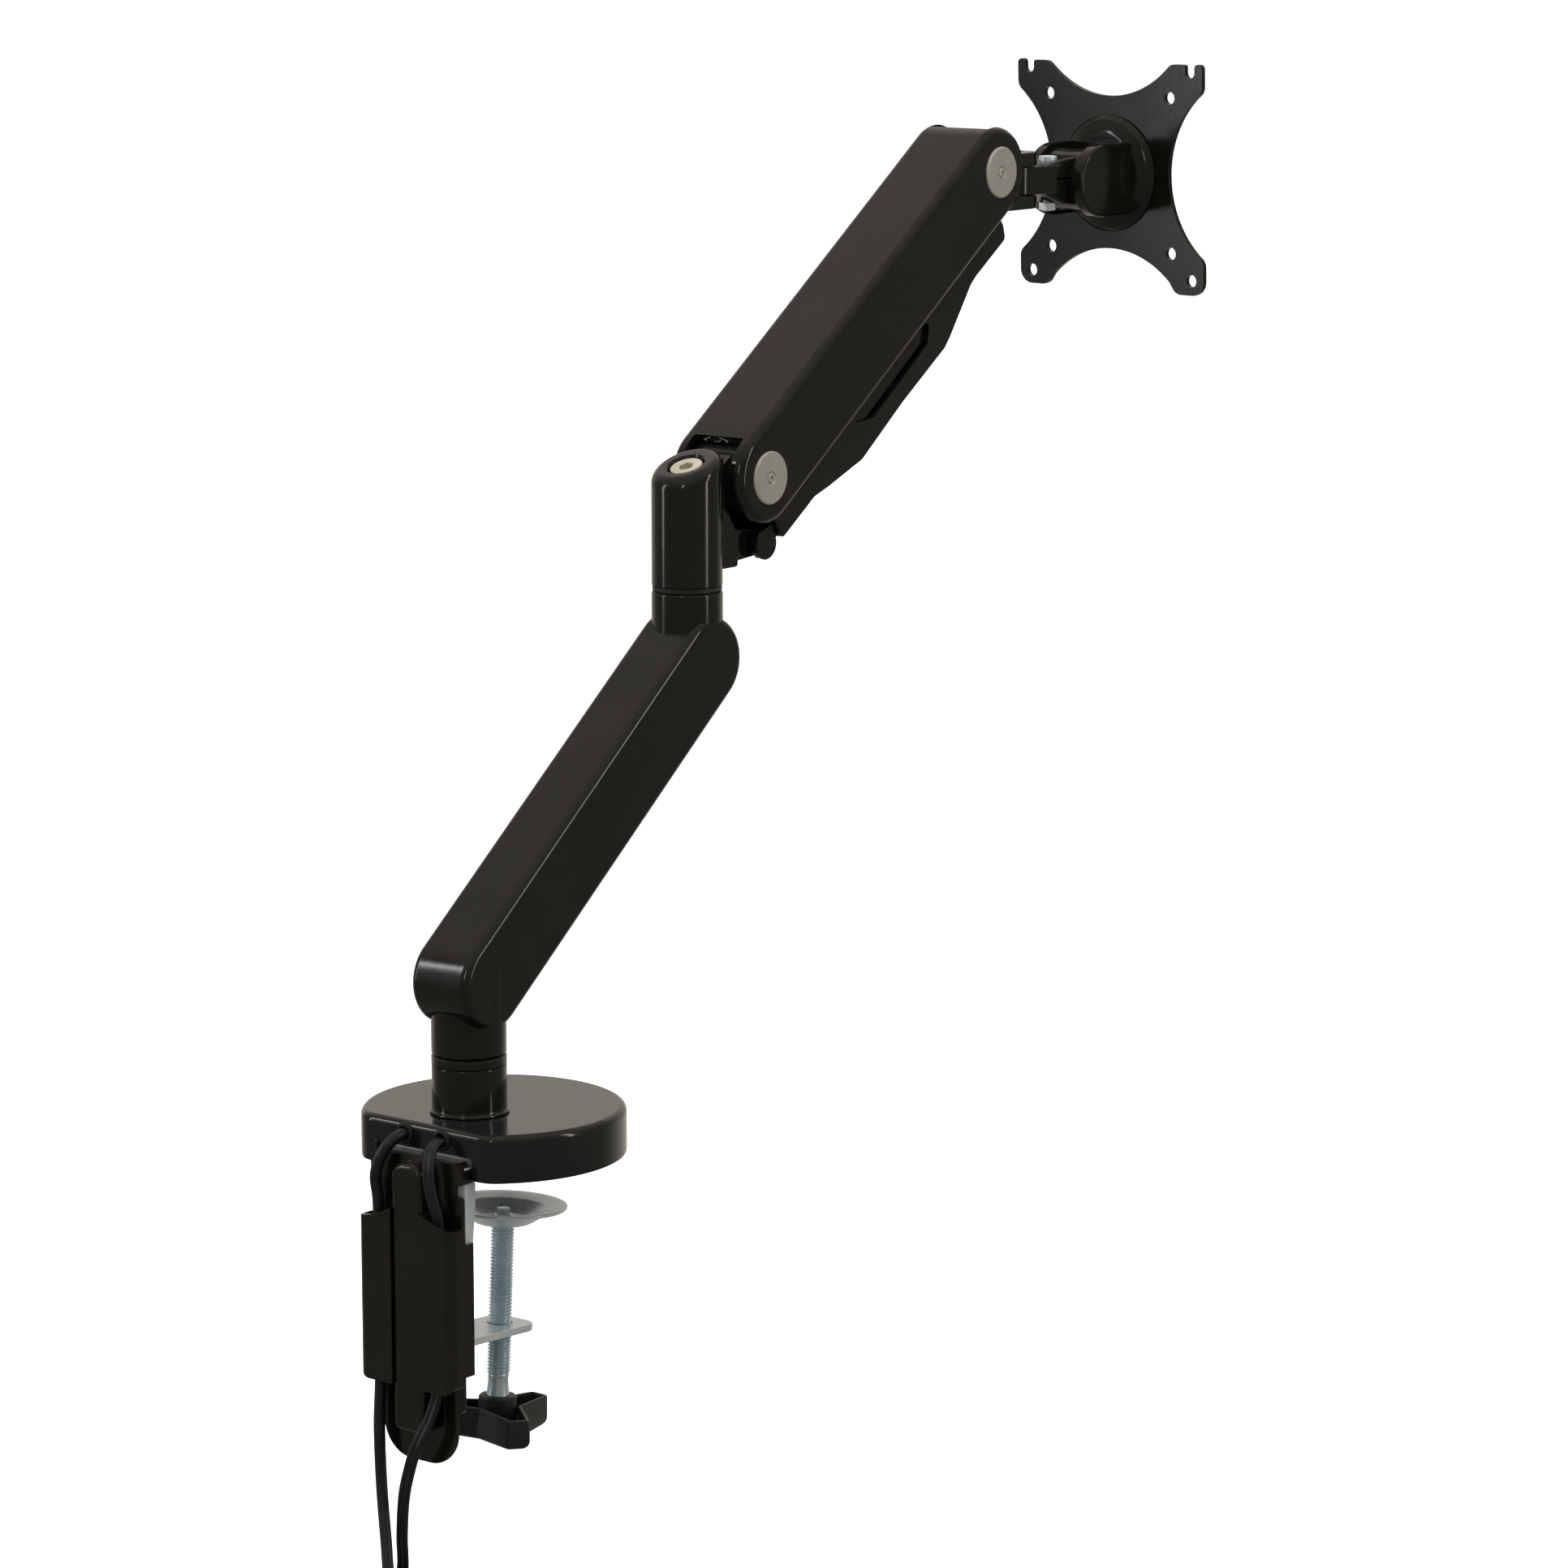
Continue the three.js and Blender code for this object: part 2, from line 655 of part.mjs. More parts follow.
function elbowKnuckle() {
  const barrel = turned("z", [
    [0, 233.2],
    [15.2, 233.2],
    [15.9, 233.9],
    [15.9, 300],
    [0, 300],
  ], [0, ELBOW_Y, 0], 24);
  const slant = new THREE.Matrix4().makeRotationX(rad(-KNUCKLE_LEAN)).setPosition(0, ELBOW_Y, 287.4);
  const above = block([-40, -60, 0], [40, 60, 60]).applyMatrix4(slant);
  const recess = rod("z", 8.25, -7, 20, [0, -1, 0], 20).applyMatrix4(slant);
  const lug = prism(
    "x",
    rounded([[150, 239.4], [172.6, 239.4], [173.6, 252.5], [170.5, 257.2], [163.6, 268.6], [162.4, 291], [150, 291]], 1.5),
    -12,
    12,
    1,
    2,
    3,
  );
  const tongue = prism(
    "x",
    polygon([[155, 262], [163.6, 262], [176, 262.5], [187, 262.8], [201.2, 278.9], [184.7, 295.4], [172.4, 290], [162.5, 284], [155, 284]]),
    -9,
    9,
  );
  const eye = rod("x", 16.4, -13.2, 13.2, [0, ...LIFT], 18);
  const linkLug = prism("x", stadium([168, 249], linkLow, 8, 5.8), -9.5, 9.5, 0, 1, 8);
  const slot = block([-6.2, 182, 256], [6.2, 220, 300]);
  const pinHole = rod("x", 4.9, -30, 30, [0, ...LIFT], 24);
  const linkHole = rod("x", 3.4, -30, 30, [0, ...linkLow], 20);
  const bore = rod("z", SPINDLE_R + GAP, 220, 262.4, [0, ELBOW_Y, 0], 24);
  const body = cut(join(barrel, lug), above);
  return cut(join(body, tongue, eye, linkLug), slot, pinHole, linkHole, bore, recess);
}
piece("elbow_knuckle", elbowKnuckle(), "gloss");

// Socket-head bolt, sunk square into the slanted face.
const boltSeat = new THREE.Group();
boltSeat.position.set(0, ELBOW_Y, 287.4);
boltSeat.rotation.x = rad(-KNUCKLE_LEAN);
arm.add(boltSeat);
const hexSocket = new THREE.CylinderGeometry(3.4, 3.4, 8, 6).rotateX(Math.PI / 2).translate(0, -1, -0.5);
piece(
  "elbow_top_bolt",
  cut(turned("z", [[0, -6.7], [7.5, -6.7], [7.5, -1.4], [6.9, -0.8], [0, -0.8]], [0, -1, 0], 20), hexSocket),
  "brass",
  boltSeat,
);

// ---- upper arm ---------------------------------------------------------------------------------

// Arm group: x across, y along the arm from the elbow pivot, z square to it on the upper side.
const lift = new THREE.Group();
lift.position.set(0, ...LIFT);
lift.rotation.x = rad(LIFT_DEG);
arm.add(lift);

function armShell() {
  const outer = prism("x", stadium([0, 0], [ARM_L, 0], ARM_R), -ARM_HALF, ARM_HALF, 4, 2, 6);
  const channel = block([-ARM_INNER, -40, -40], [ARM_INNER, 260, ARM_ROOF]);
  const notch = block([-14.1, -40, 0], [14.1, 2, 40]);
  const mouth = block([-ARM_INNER, ARM_L + 7.5, 0], [ARM_INNER, 260, 40]);
  const parts = [channel, notch, mouth];
  for (const s of [0, ARM_L]) {
    parts.push(rod("x", 4.9, -30, 30, [0, s, 0], 24));
    for (const side of [-1, 1]) {
      parts.push(rod("x", 12.4, 19.6, 30, [0, s, 0], 20).rotateY(side > 0 ? 0 : Math.PI));
    }
  }
  return cut(outer, ...parts);
}
piece("arm_shell", armShell(), "gloss", lift);

function pivotCap(side, s) {
  const hexKey = new THREE.CylinderGeometry(1.7, 1.7, 3, 6).rotateZ(Math.PI / 2).translate(21.6, s, 0);
  const g = cut(turned("x", [[0, 19.9], [12, 19.9], [12, 20.9], [11.4, 21.4], [0, 21.4]], [0, s, 0], 24), hexKey);
  return side > 0 ? g : toGeometry(toSolid(g).mirror([1, 0, 0]));
}
for (const [side, hand] of [[-1, "left"], [1, "right"]]) {
  piece("elbow_cap_" + hand, pivotCap(side, 0), "nickel", lift);
  piece("head_cap_" + hand, pivotCap(side, ARM_L), "nickel", lift);
}
piece("elbow_pin", rod("x", 4.5, -19.4, 19.4, [0, 0, 0], 24), "steel", lift);
piece("head_pin", rod("x", 4.5, -19.4, 19.4, [0, ARM_L, 0], 24), "steel", lift);

// Gas spring in the channel: the cylinder is pinned near the head, the rod bears at the elbow.
const spring = new THREE.Group();
spring.position.z = SPRING_N;
lift.add(spring);
piece(
  "spring_cylinder",
  cut(
    join(rod("y", 8.5, 84, 176, [0, 0, 0], 20), rod("x", 5.5, -8, 8, [0, 182, 0], 16), block([-5, 170, -5], [5, 182, 5])),
    rod("y", 4.3, 80, 132, [0, 0, 0], 16),
  ),
  "paint",
  spring,
);
piece("spring_rod", rod("y", 4, 5, 112, [0, 0, 0], 16), "steel", spring);

// Parallel link: a folded channel under the arm, with a snap-on cover.
function parallelLink() {
  const tip = [ARM_L + LINK_S, LINK_N];
  const side = [];
  for (const x of [-13.3, 11.1]) {
    const strip = prism("x", polygon([[LINK_S, -31.2], [tip[0], -31.2], [tip[0], -24], [LINK_S, -24]]), x, x + 2.2);
    side.push(strip);
    side.push(rod("x", 7, x, x + 2.2, [0, LINK_S, LINK_N], 12));
    side.push(rod("x", 4.2, x, x + 2.2, [0, ...tip], 12));
  }
  const web = block([-13.2, 6, -31.2], [13.2, 170, -29.8]);
  const holes = [rod("x", 3.2, -30, 30, [0, LINK_S, LINK_N], 20), rod("x", 3.2, -30, 30, [0, ...tip], 20)];
  return cut(join(...side, web), ...holes);
}
piece("parallel_link", parallelLink(), "paint", lift);

function linkCover() {
  const foot = [[-4, -33.5], [25, -33.9], [35, -37], [62, -43.9], [101, -42.8], [141, -43.7], [147, -42.2], [174, -32.9],
    [180, -32.3], [208, -33], [210.5, -26.7]];
  const top = -20;
  const outer = prism("x", rounded([...foot, [210.5, top], [-4, top]], [2, 4, 8, 8, 8, 6, 6, 6, 3, 3, 3, 2, 2]), -15.5, 15.5, 0.7, 1, 3);
  const wall = 1.8;
  const floor = foot.slice(0, 9).map(([s, n]) => [s, n + wall]);
  const inner = prism("x", polygon([[-12, -31.9], [20, -32], [33, -34.8], ...floor.slice(3, 7), [172, -31.5], [230, -31.5], [230, 0], [-12, 0]]), -13.7, 13.7);
  const openHead = block([-13.7, 178, -60], [13.7, 230, 0]);
  const window = prism("x", rounded([[62, -23.5], [79, -33.4], [131, -33], [140, -23.9]], 2), -30, 30, 0, 1, 3);
  return cut(outer, inner, openHead, window);
}
piece("link_cover", linkCover(), "matt", lift);
piece(
  "link_pin_elbow",
  join(
    rod("x", 2.9, -14, 14, [0, LINK_S, LINK_N], 18),
    rod("x", 7.2, 13.6, 15.4, [0, LINK_S, LINK_N], 24),
    rod("x", 7.2, -15.4, -13.6, [0, LINK_S, LINK_N], 24),
  ),
  "paint",
  lift,
);
piece("link_pin_head", rod("x", 2.9, -13.4, 13.4, [0, ARM_L + LINK_S, LINK_N], 18), "steel", lift);

// ---- front knuckle -----------------------------------------------------------------------------

const headPivot = [
  LIFT[0] + ARM_L * Math.cos(rad(LIFT_DEG)),
  LIFT[1] + ARM_L * Math.sin(rad(LIFT_DEG)),
];
const linkHigh = [headPivot[0] + LINK_DY, headPivot[1] + LINK_DZ];

function frontKnuckle() {
  const barrel = rod("x", 15.5, -15.8, 15.8, [0, ...headPivot], 24);
  const lug = prism("x", stadium(headPivot, linkHigh, 9, 6), -10.5, 10.5, 0, 1, 8);
  const neck = prism("x", rounded([[352, 386], [389, 385.5], [390.8, 391.8], [390.8, 405.9], [389, 412.5], [366, 416], [352, 412]], 1.5), -10.5, 10.5, 1, 2, 3);
  const ear = (low, high) => prism("z", stadium([0, 384], [0, PAN_Y], 10.6), low, high, 0, 1, 5);
  const pinHole = rod("z", 4.2, 370, 430, [0, PAN_Y, 0], 20);
  const liftHole = rod("x", 4.9, -30, 30, [0, ...headPivot], 24);
  const linkHole = rod("x", 3.3, -30, 30, [0, ...linkHigh], 20);
  return cut(
    join(barrel, lug, neck, ear(405.8, 412.5), ear(385.5, 391.8)),
    block([-30, 390.9, 391.8], [30, 430, 405.8]),
    pinHole,
    liftHole,
    linkHole,
  );
}
piece("front_knuckle", frontKnuckle(), "gloss");
piece("pan_pin", rod("z", 3.9, 386, 412, [0, PAN_Y, 0], 24), "steel");

// ---- head --------------------------------------------------------------------------------------

// Pan group: y runs forward from the pan axis, z stays the height above the desk.
const pan = new THREE.Group();
pan.position.set(0, PAN_Y, 0);
pan.rotation.z = rad(PAN_DEG);
arm.add(pan);

function panBlock() {
  const tongue = prism("z", stadium([0, 0], [0, 22], 9.7), 392.1, 405.5, 0, 1, 5);
  const neckTop = prism("x", rounded([[12, 392.1], [27, 386], [TILT_Y, 384], [TILT_Y, 409.6], [27, 408], [12, 405.5]], 3), -8.6, 8.6, 1.5, 1, 3);
  const barrel = turned("x", [[0, -11.5], [14, -11.5], [15, -10.5], [15, 10.5], [14, 11.5], [0, 11.5]], [0, TILT_Y, TILT_Z], 24);
  const split = block([-9.8, 19.5, 398.2], [9.8, 31.5, 399.4]);
  const boltHole = rod("z", 2.6, 370, 430, [0, 24.6, 0], 20);
  const headSeat = rod("z", 4.9, 405.3, 430, [0, 24.6, 0], 20);
  const nutSeat = rod("z", 4.9, 370, 387.5, [0, 24.6, 0], 20);
  const axle = rod("x", 4.9, -30, 30, [0, TILT_Y, TILT_Z], 24);
  const pinBore = rod("z", 4.2, 370, 430, [0, 0, 0], 24);
  return cut(join(tongue, neckTop, barrel), split, boltHole, headSeat, nutSeat, axle, pinBore);
}
piece("pan_block", panBlock(), "gloss", pan);
piece(
  "tension_bolt",
  cut(
    turned("z", [[0, 383], [2.3, 383], [2.3, 405.6], [4.3, 405.6], [4.3, 408.8], [3.8, 409.3], [0, 409.3]], [0, 24.6, 0], 24),
    new THREE.CylinderGeometry(1.8, 1.8, 4, 6).rotateX(Math.PI / 2).translate(0, 24.6, 409.6),
  ),
  "zinc",
  pan,
);
piece(
  "tension_nut",
  cut(
    new THREE.CylinderGeometry(4.5, 4.5, 3.8, 6).rotateX(Math.PI / 2).translate(0, 24.6, 385.2),
    rod("z", 2.6, 370, 400, [0, 24.6, 0], 18),
  ),
  "zinc",
  pan,
);

// Tilt group: origin on the tilt axis.
const tilt = new THREE.Group();
tilt.position.set(0, TILT_Y, TILT_Z);
tilt.rotation.x = rad(TILT_DEG);
pan.add(tilt);

function tiltYoke() {
  const outline = () => {
    const shape = new THREE.Shape();
    shape.absarc(0, 0, 17.4, rad(90), rad(270), false);
    shape.lineTo(22, -17.4);
    shape.lineTo(22, 17.4);
    shape.closePath();
    return shape;
  };
  const cheeks = prism("x", outline(), -18, 18, 1.6, 1, 6);
  const space = join(block([-11.9, -30, -30], [11.9, 10, 30]), rod("x", 17.6, -11.9, 11.9, [0, 0, 0], 20));
  const axle = rod("x", 4.9, -16, 16, [0, 0, 0], 24);
  const boss = turned("y", [[0, 19.6], [24.6, 19.6], [27.6, 20.6], [28.5, 22.6], [28.5, 25.3], [0, 25.3]], [0, 0, PLATE_CZ], 24);
  const screwHole = rod("y", 3.4, 12, 40, [0, 0, PLATE_CZ], 20);
  return cut(join(cut(cheeks, space), boss), axle, screwHole);
}
piece("tilt_yoke", tiltYoke(), "gloss", tilt);
piece("tilt_shaft", rod("x", 4.5, -15.7, 15.7, [0, 0, 0], 24), "steel", tilt);

// VESA plate outline: four arms cut by circular waists, drawn as X and Z about its centre.
function plateOutline() {
  const shape = new THREE.Shape();
  const arc = (cx, cz, r, from, to) => shape.absarc(cx, cz, r, rad(from), rad(to), false);
  shape.moveTo(-57.3, 43);
  shape.lineTo(-57.3, 51.5);
  shape.quadraticCurveTo(-57.2, 53.8, -55, 53.8);
  shape.quadraticCurveTo(-52.8, 53.8, -52.8, 51.5);
  shape.lineTo(-52.8, 50);
  shape.absarc(-50, 50, 2.8, Math.PI, 2 * Math.PI, false);
  shape.lineTo(-47.2, 53);
  shape.lineTo(-42, 53.4);
  shape.quadraticCurveTo(-38, 53, -34.9, 50.5);
  arc(0, 90.4, 53, 228.8, 311.2);
  shape.quadraticCurveTo(38, 53, 42, 53.6);
  shape.lineTo(47.2, 53.6);
  shape.lineTo(47.2, 50);
  shape.absarc(50, 50, 2.8, Math.PI, 2 * Math.PI, false);
  shape.lineTo(52.8, 51.5);
  shape.quadraticCurveTo(52.8, 53.9, 55, 53.9);
  shape.quadraticCurveTo(57.5, 53.9, 57.5, 51.5);
  shape.lineTo(57.5, 43);
  shape.quadraticCurveTo(57.4, 40.2, 53.1, 37.2);
  arc(86.6, 0, 50, 132, 228);
  shape.quadraticCurveTo(57.4, -40.5, 57.5, -43);
  shape.lineTo(57.5, -51);
  shape.quadraticCurveTo(56, -57, 49, -57.1);
  shape.lineTo(43.5, -56.8);
  shape.quadraticCurveTo(39.4, -56, 36.4, -51.4);
  shape.absarc(0, -89.8, 53, rad(46.6), rad(133.4), false);
  shape.quadraticCurveTo(-39.4, -56, -43.5, -56.6);
  shape.lineTo(-49, -56.6);
  shape.quadraticCurveTo(-56, -56.4, -57.4, -50.5);
  shape.lineTo(-57.4, -43);
  shape.quadraticCurveTo(-57.4, -40.5, -53.1, -37.2);
  arc(-86.6, 0, 50, 312, 408);
  shape.quadraticCurveTo(-57.2, 40.2, -57.3, 43);
  return shape;
}
function vesaPlate() {
  const sheet = prism("y", plateOutline(), PLATE_FRONT - PLATE_T, PLATE_FRONT, 0, 1, 4);
  const holes = [[-50, -50], [50, -50]].map(([x, z]) => rod("y", 3.05, 0, 40, [x, 0, z], 10));
  for (const x of [-37.5, 37.5]) {
    for (const z of [-37.5, 37.5]) holes.push(rod("y", 3.05, 0, 40, [x, 0, z], 10));
  }
  return cut(sheet, ...holes, rod("y", 3.4, 0, 40, [0, 0, 0], 16)).translate(0, 0, PLATE_CZ);
}
piece("vesa_plate", vesaPlate(), "paint", tilt);
piece(
  "plate_screw",
  turned("y", [[0, 16.2], [2.9, 16.2], [2.9, 28.4], [8.5, 28.4], [8.5, 29.4], [7, 30.4], [0, 30.4]], [0, 0, PLATE_CZ], 24),
  "zinc",
  tilt,
);

export default arm;
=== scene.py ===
"""Looks of the desk-clamp monitor arm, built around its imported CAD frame.

Lengths in the shape code are millimetres in the frame of the group named, and become metres when a
mesh is made.
"""

import math

import bmesh
import bpy
from mathutils import Matrix, Vector


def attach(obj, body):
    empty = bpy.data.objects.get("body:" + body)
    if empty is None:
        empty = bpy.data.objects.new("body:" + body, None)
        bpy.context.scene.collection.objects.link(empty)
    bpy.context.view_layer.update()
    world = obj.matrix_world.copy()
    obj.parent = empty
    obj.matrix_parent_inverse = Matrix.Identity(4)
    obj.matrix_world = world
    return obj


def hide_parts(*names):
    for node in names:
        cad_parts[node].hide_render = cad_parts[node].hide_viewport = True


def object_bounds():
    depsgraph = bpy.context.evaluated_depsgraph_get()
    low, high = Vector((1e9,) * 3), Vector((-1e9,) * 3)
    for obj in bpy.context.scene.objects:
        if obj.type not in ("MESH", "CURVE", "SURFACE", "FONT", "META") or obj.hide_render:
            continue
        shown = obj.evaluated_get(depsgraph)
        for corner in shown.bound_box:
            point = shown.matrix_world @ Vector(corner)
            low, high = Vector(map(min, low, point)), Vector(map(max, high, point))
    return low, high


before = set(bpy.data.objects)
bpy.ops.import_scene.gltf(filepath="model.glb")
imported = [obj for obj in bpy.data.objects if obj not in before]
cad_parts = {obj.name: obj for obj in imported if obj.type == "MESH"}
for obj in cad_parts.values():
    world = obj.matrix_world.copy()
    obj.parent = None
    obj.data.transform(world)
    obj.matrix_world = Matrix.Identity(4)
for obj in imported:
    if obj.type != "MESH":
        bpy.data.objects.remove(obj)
cad_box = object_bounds()

MM = 0.001
TAU = 2 * math.pi
rad = math.radians

# ---- camera ------------------------------------------------------------------------------------

lens = bpy.data.cameras.new("camera")
lens.lens = 119.46
lens.sensor_width = 36
lens.clip_start = 0.05
lens.clip_end = 60
camera = bpy.data.objects.new("camera", lens)
camera.location = (1.43692, -1.64043, 0.56759)
camera.rotation_euler = (rad(79.51), 0, rad(37.66))
bpy.context.scene.collection.objects.link(camera)
bpy.context.scene.camera = camera

# ---- groups of the assembly --------------------------------------------------------------------


def placed(x, y, z, turn=0, about="X"):
    return Matrix.Translation((x * MM, y * MM, z * MM)) @ Matrix.Rotation(rad(turn), 4, about)


WORLD = Matrix.Identity(4)
LEAN = placed(0, 18.4, -77, -3.4)
SEAT = placed(0, 150.8, 287.4, 22)
LIFT = placed(0, 184.7, 278.9, 35.63)
PAN = placed(0, 401.7, 0, -5, "Z")
TILT = PAN @ placed(0, 46, 396.8, 2)
ARM_L = 217.3
ARM_R = 21
LINK = (-14.2, -27.6)
PLATE_Z = 1.1

# ---- outlines ----------------------------------------------------------------------------------


def arc(cx, cy, r, start, stop, steps=24):
    """Points on a circle, from one angle to another in degrees."""
    angles = [rad(start + (stop - start) * i / steps) for i in range(steps + 1)]
    return [(cx + r * math.cos(a), cy + r * math.sin(a)) for a in angles]


def tidy(points, least=0.01):
    """The outline without points that coincide."""
    kept = []
    for p in points:
        if not kept or math.dist(p, kept[-1]) > least:
            kept.append(p)
    while len(kept) > 2 and math.dist(kept[0], kept[-1]) < least:
        kept.pop()
    return kept


def fillet(points, radius, steps=8):
    """An outline with its corners rounded, by one radius or by one for each corner."""
    result = []
    count = len(points)
    for i, p in enumerate(points):
        r = radius[i] if isinstance(radius, (list, tuple)) else radius
        corner = Vector(p)
        before = (Vector(points[i - 1]) - corner)
        after = (Vector(points[(i + 1) % count]) - corner)
        half = before.angle(after) / 2
        if r < 0.01 or half > 1.55:
            result.append(tuple(corner))
            continue
        reach = min(r / math.tan(half), 0.49 * before.length, 0.49 * after.length)
        r = reach * math.tan(half)
        a, b = corner + before.normalized() * reach, corner + after.normalized() * reach
        centre = corner + (before.normalized() + after.normalized()).normalized() * (r / math.sin(half))
        first, last = a - centre, b - centre
        turn = math.atan2(first.x * last.y - first.y * last.x, first.dot(last))
        start = math.atan2(first.y, first.x)
        for k in range(steps + 1):
            angle = start + turn * k / steps
            result.append((centre.x + r * math.cos(angle), centre.y + r * math.sin(angle)))
    return tidy(result)


def stadium(a, b, r, rb=None, steps=40):
    """A round-ended bar between two centres."""
    angle = math.degrees(math.atan2(b[1] - a[1], b[0] - a[0]))
    left = arc(a[0], a[1], r, angle + 90, angle + 270, steps)
    right = arc(b[0], b[1], r if rb is None else rb, angle - 90, angle + 90, steps)
    return tidy(left + right)


# ---- meshes ------------------------------------------------------------------------------------

MAP = {
    "x": lambda a, b, h: (h, a, b),
    "y": lambda a, b, h: (a, h, b),
    "z": lambda a, b, h: (a, b, h),
}


def build(verts, faces, group=WORLD):
    mesh = bpy.data.meshes.new("shape")
    mesh.from_pydata([group @ (Vector(v) * MM) for v in verts], [], faces)
    bm = bmesh.new()
    bm.from_mesh(mesh)
    bmesh.ops.remove_doubles(bm, verts=bm.verts, dist=1e-7)
    bmesh.ops.recalc_face_normals(bm, faces=bm.faces)
    bm.to_mesh(mesh)
    bm.free()
    obj = bpy.data.objects.new("shape", mesh)
    bpy.context.scene.collection.objects.link(obj)
    return obj


def loft(rings, group=WORLD, loop=False):
    """A closed skin over rings of equal point count. With loop, the last ring meets the first."""
    n = len(rings[0])
    verts = [p for ring in rings for p in ring]
    faces = []
    spans = len(rings) if loop else len(rings) - 1
    for k in range(spans):
        a, b = k * n, ((k + 1) % len(rings)) * n
        faces += [(a + i, a + (i + 1) % n, b + (i + 1) % n, b + i) for i in range(n)]
    if not loop:
        faces.append(tuple(range(n)))
        faces.append(tuple(range(len(verts) - n, len(verts))))
    return build(verts, faces, group)


def prism(axis, outline, low, high, group=WORLD):
    return loft([[MAP[axis](a, b, h) for a, b in outline] for h in (low, high)], group)


def block(low, high, group=WORLD):
    (x0, y0, z0), (x1, y1, z1) = low, high
    return prism("z", [(x0, y0), (x1, y0), (x1, y1), (x0, y1)], z0, z1, group)


SPIN = {
    "x": lambda r, h, a: (h, r * math.cos(a), r * math.sin(a)),
    "y": lambda r, h, a: (r * math.cos(a), h, r * math.sin(a)),
    "z": lambda r, h, a: (r * math.cos(a), r * math.sin(a), h),
}


def lathe(axis, profile, at=(0, 0, 0), group=WORLD, steps=96):
    """A turned piece: (radius, height) pairs that start and end on the axis, or close on themselves."""
    ring = math.dist(profile[0], profile[-1]) < 1e-6
    points = profile[:-1] if ring else profile
    verts, rows = [], []
    for r, h in points:
        count = 1 if r < 1e-6 else steps
        rows.append(list(range(len(verts), len(verts) + count)))
        for i in range(count):
            p = SPIN[axis](r, h, TAU * i / steps)
            verts.append((p[0] + at[0], p[1] + at[1], p[2] + at[2]))
    faces = []
    for k in range(len(rows) if ring else len(rows) - 1):
        a, b = rows[k], rows[(k + 1) % len(rows)]
        for i in range(steps):
            j = (i + 1) % steps
            if len(a) == 1 and len(b) == 1:
                continue
            if len(a) == 1:
                faces.append((a[0], b[i], b[j]))
            elif len(b) == 1:
                faces.append((a[i], a[j], b[0]))
            else:
                faces.append((a[i], a[j], b[j], b[i]))
    return build(verts, faces, group)


def rod(axis, r, low, high, at=(0, 0, 0), group=WORLD, steps=64):
    return lathe(axis, [(0, low), (r, low), (r, high), (0, high)], at, group, steps)


def soft(profile, radius, steps=5):
    """An open profile whose inner corners are rounded; a number for all or one for each."""
    ends = radius if isinstance(radius, (list, tuple)) else [radius] * len(profile)
    closed = math.dist(profile[0], profile[-1]) < 1e-6
    radii = list(ends)
    if closed:
        done = fillet(profile[:-1], radii[: len(profile) - 1], steps)
        return done + [done[0]]
    radii[0] = radii[-1] = 0
    return fillet(profile, radii, steps)


def bake(obj):
    """Applies the object's modifiers."""
    graph = bpy.context.evaluated_depsgraph_get()
    mesh = bpy.data.meshes.new_from_object(obj.evaluated_get(graph))
    old = obj.data
    obj.modifiers.clear()
    obj.data = mesh
    bpy.data.meshes.remove(old)
    return obj


def bevel(obj, width, steps=3, angle=32):
    mod = obj.modifiers.new("bevel", "BEVEL")
    mod.width = width * MM
    mod.segments = steps
    mod.limit_method = "ANGLE"
    mod.angle_limit = rad(angle)
    mod.miter_outer = "MITER_ARC"
    mod.use_clamp_overlap = True
    return bake(obj)


def combine(obj, kind, tools):
    for tool in tools:
        mod = obj.modifiers.new("bool", "BOOLEAN")
        mod.operation = kind
        mod.solver = "EXACT"
        mod.object = tool
        bake(obj)
        bpy.data.objects.remove(tool)
    return obj


def cut(obj, *tools):
    return combine(obj, "DIFFERENCE", tools)


def join(obj, *tools):
    return combine(obj, "UNION", tools)


def sweep(path, section, side=Vector((1, 0, 0)), caps=True):
    """A tube of one section along points in millimetres; side is kept as close to its width as it can be."""
    points = [Vector(p) for p in path]
    rings = []
    for i, p in enumerate(points):
        ahead = (points[min(i + 1, len(points) - 1)] - points[max(i - 1, 0)]).normalized()
        wide = side - ahead * side.dot(ahead)
        if wide.length < 0.2:
            wide = last - ahead * last.dot(ahead)
        wide.normalize()
        last = wide
        deep = ahead.cross(wide)
        rings.append([tuple(p + wide * a + deep * b) for a, b in section])
    return loft(rings)


# ---- materials ---------------------------------------------------------------------------------


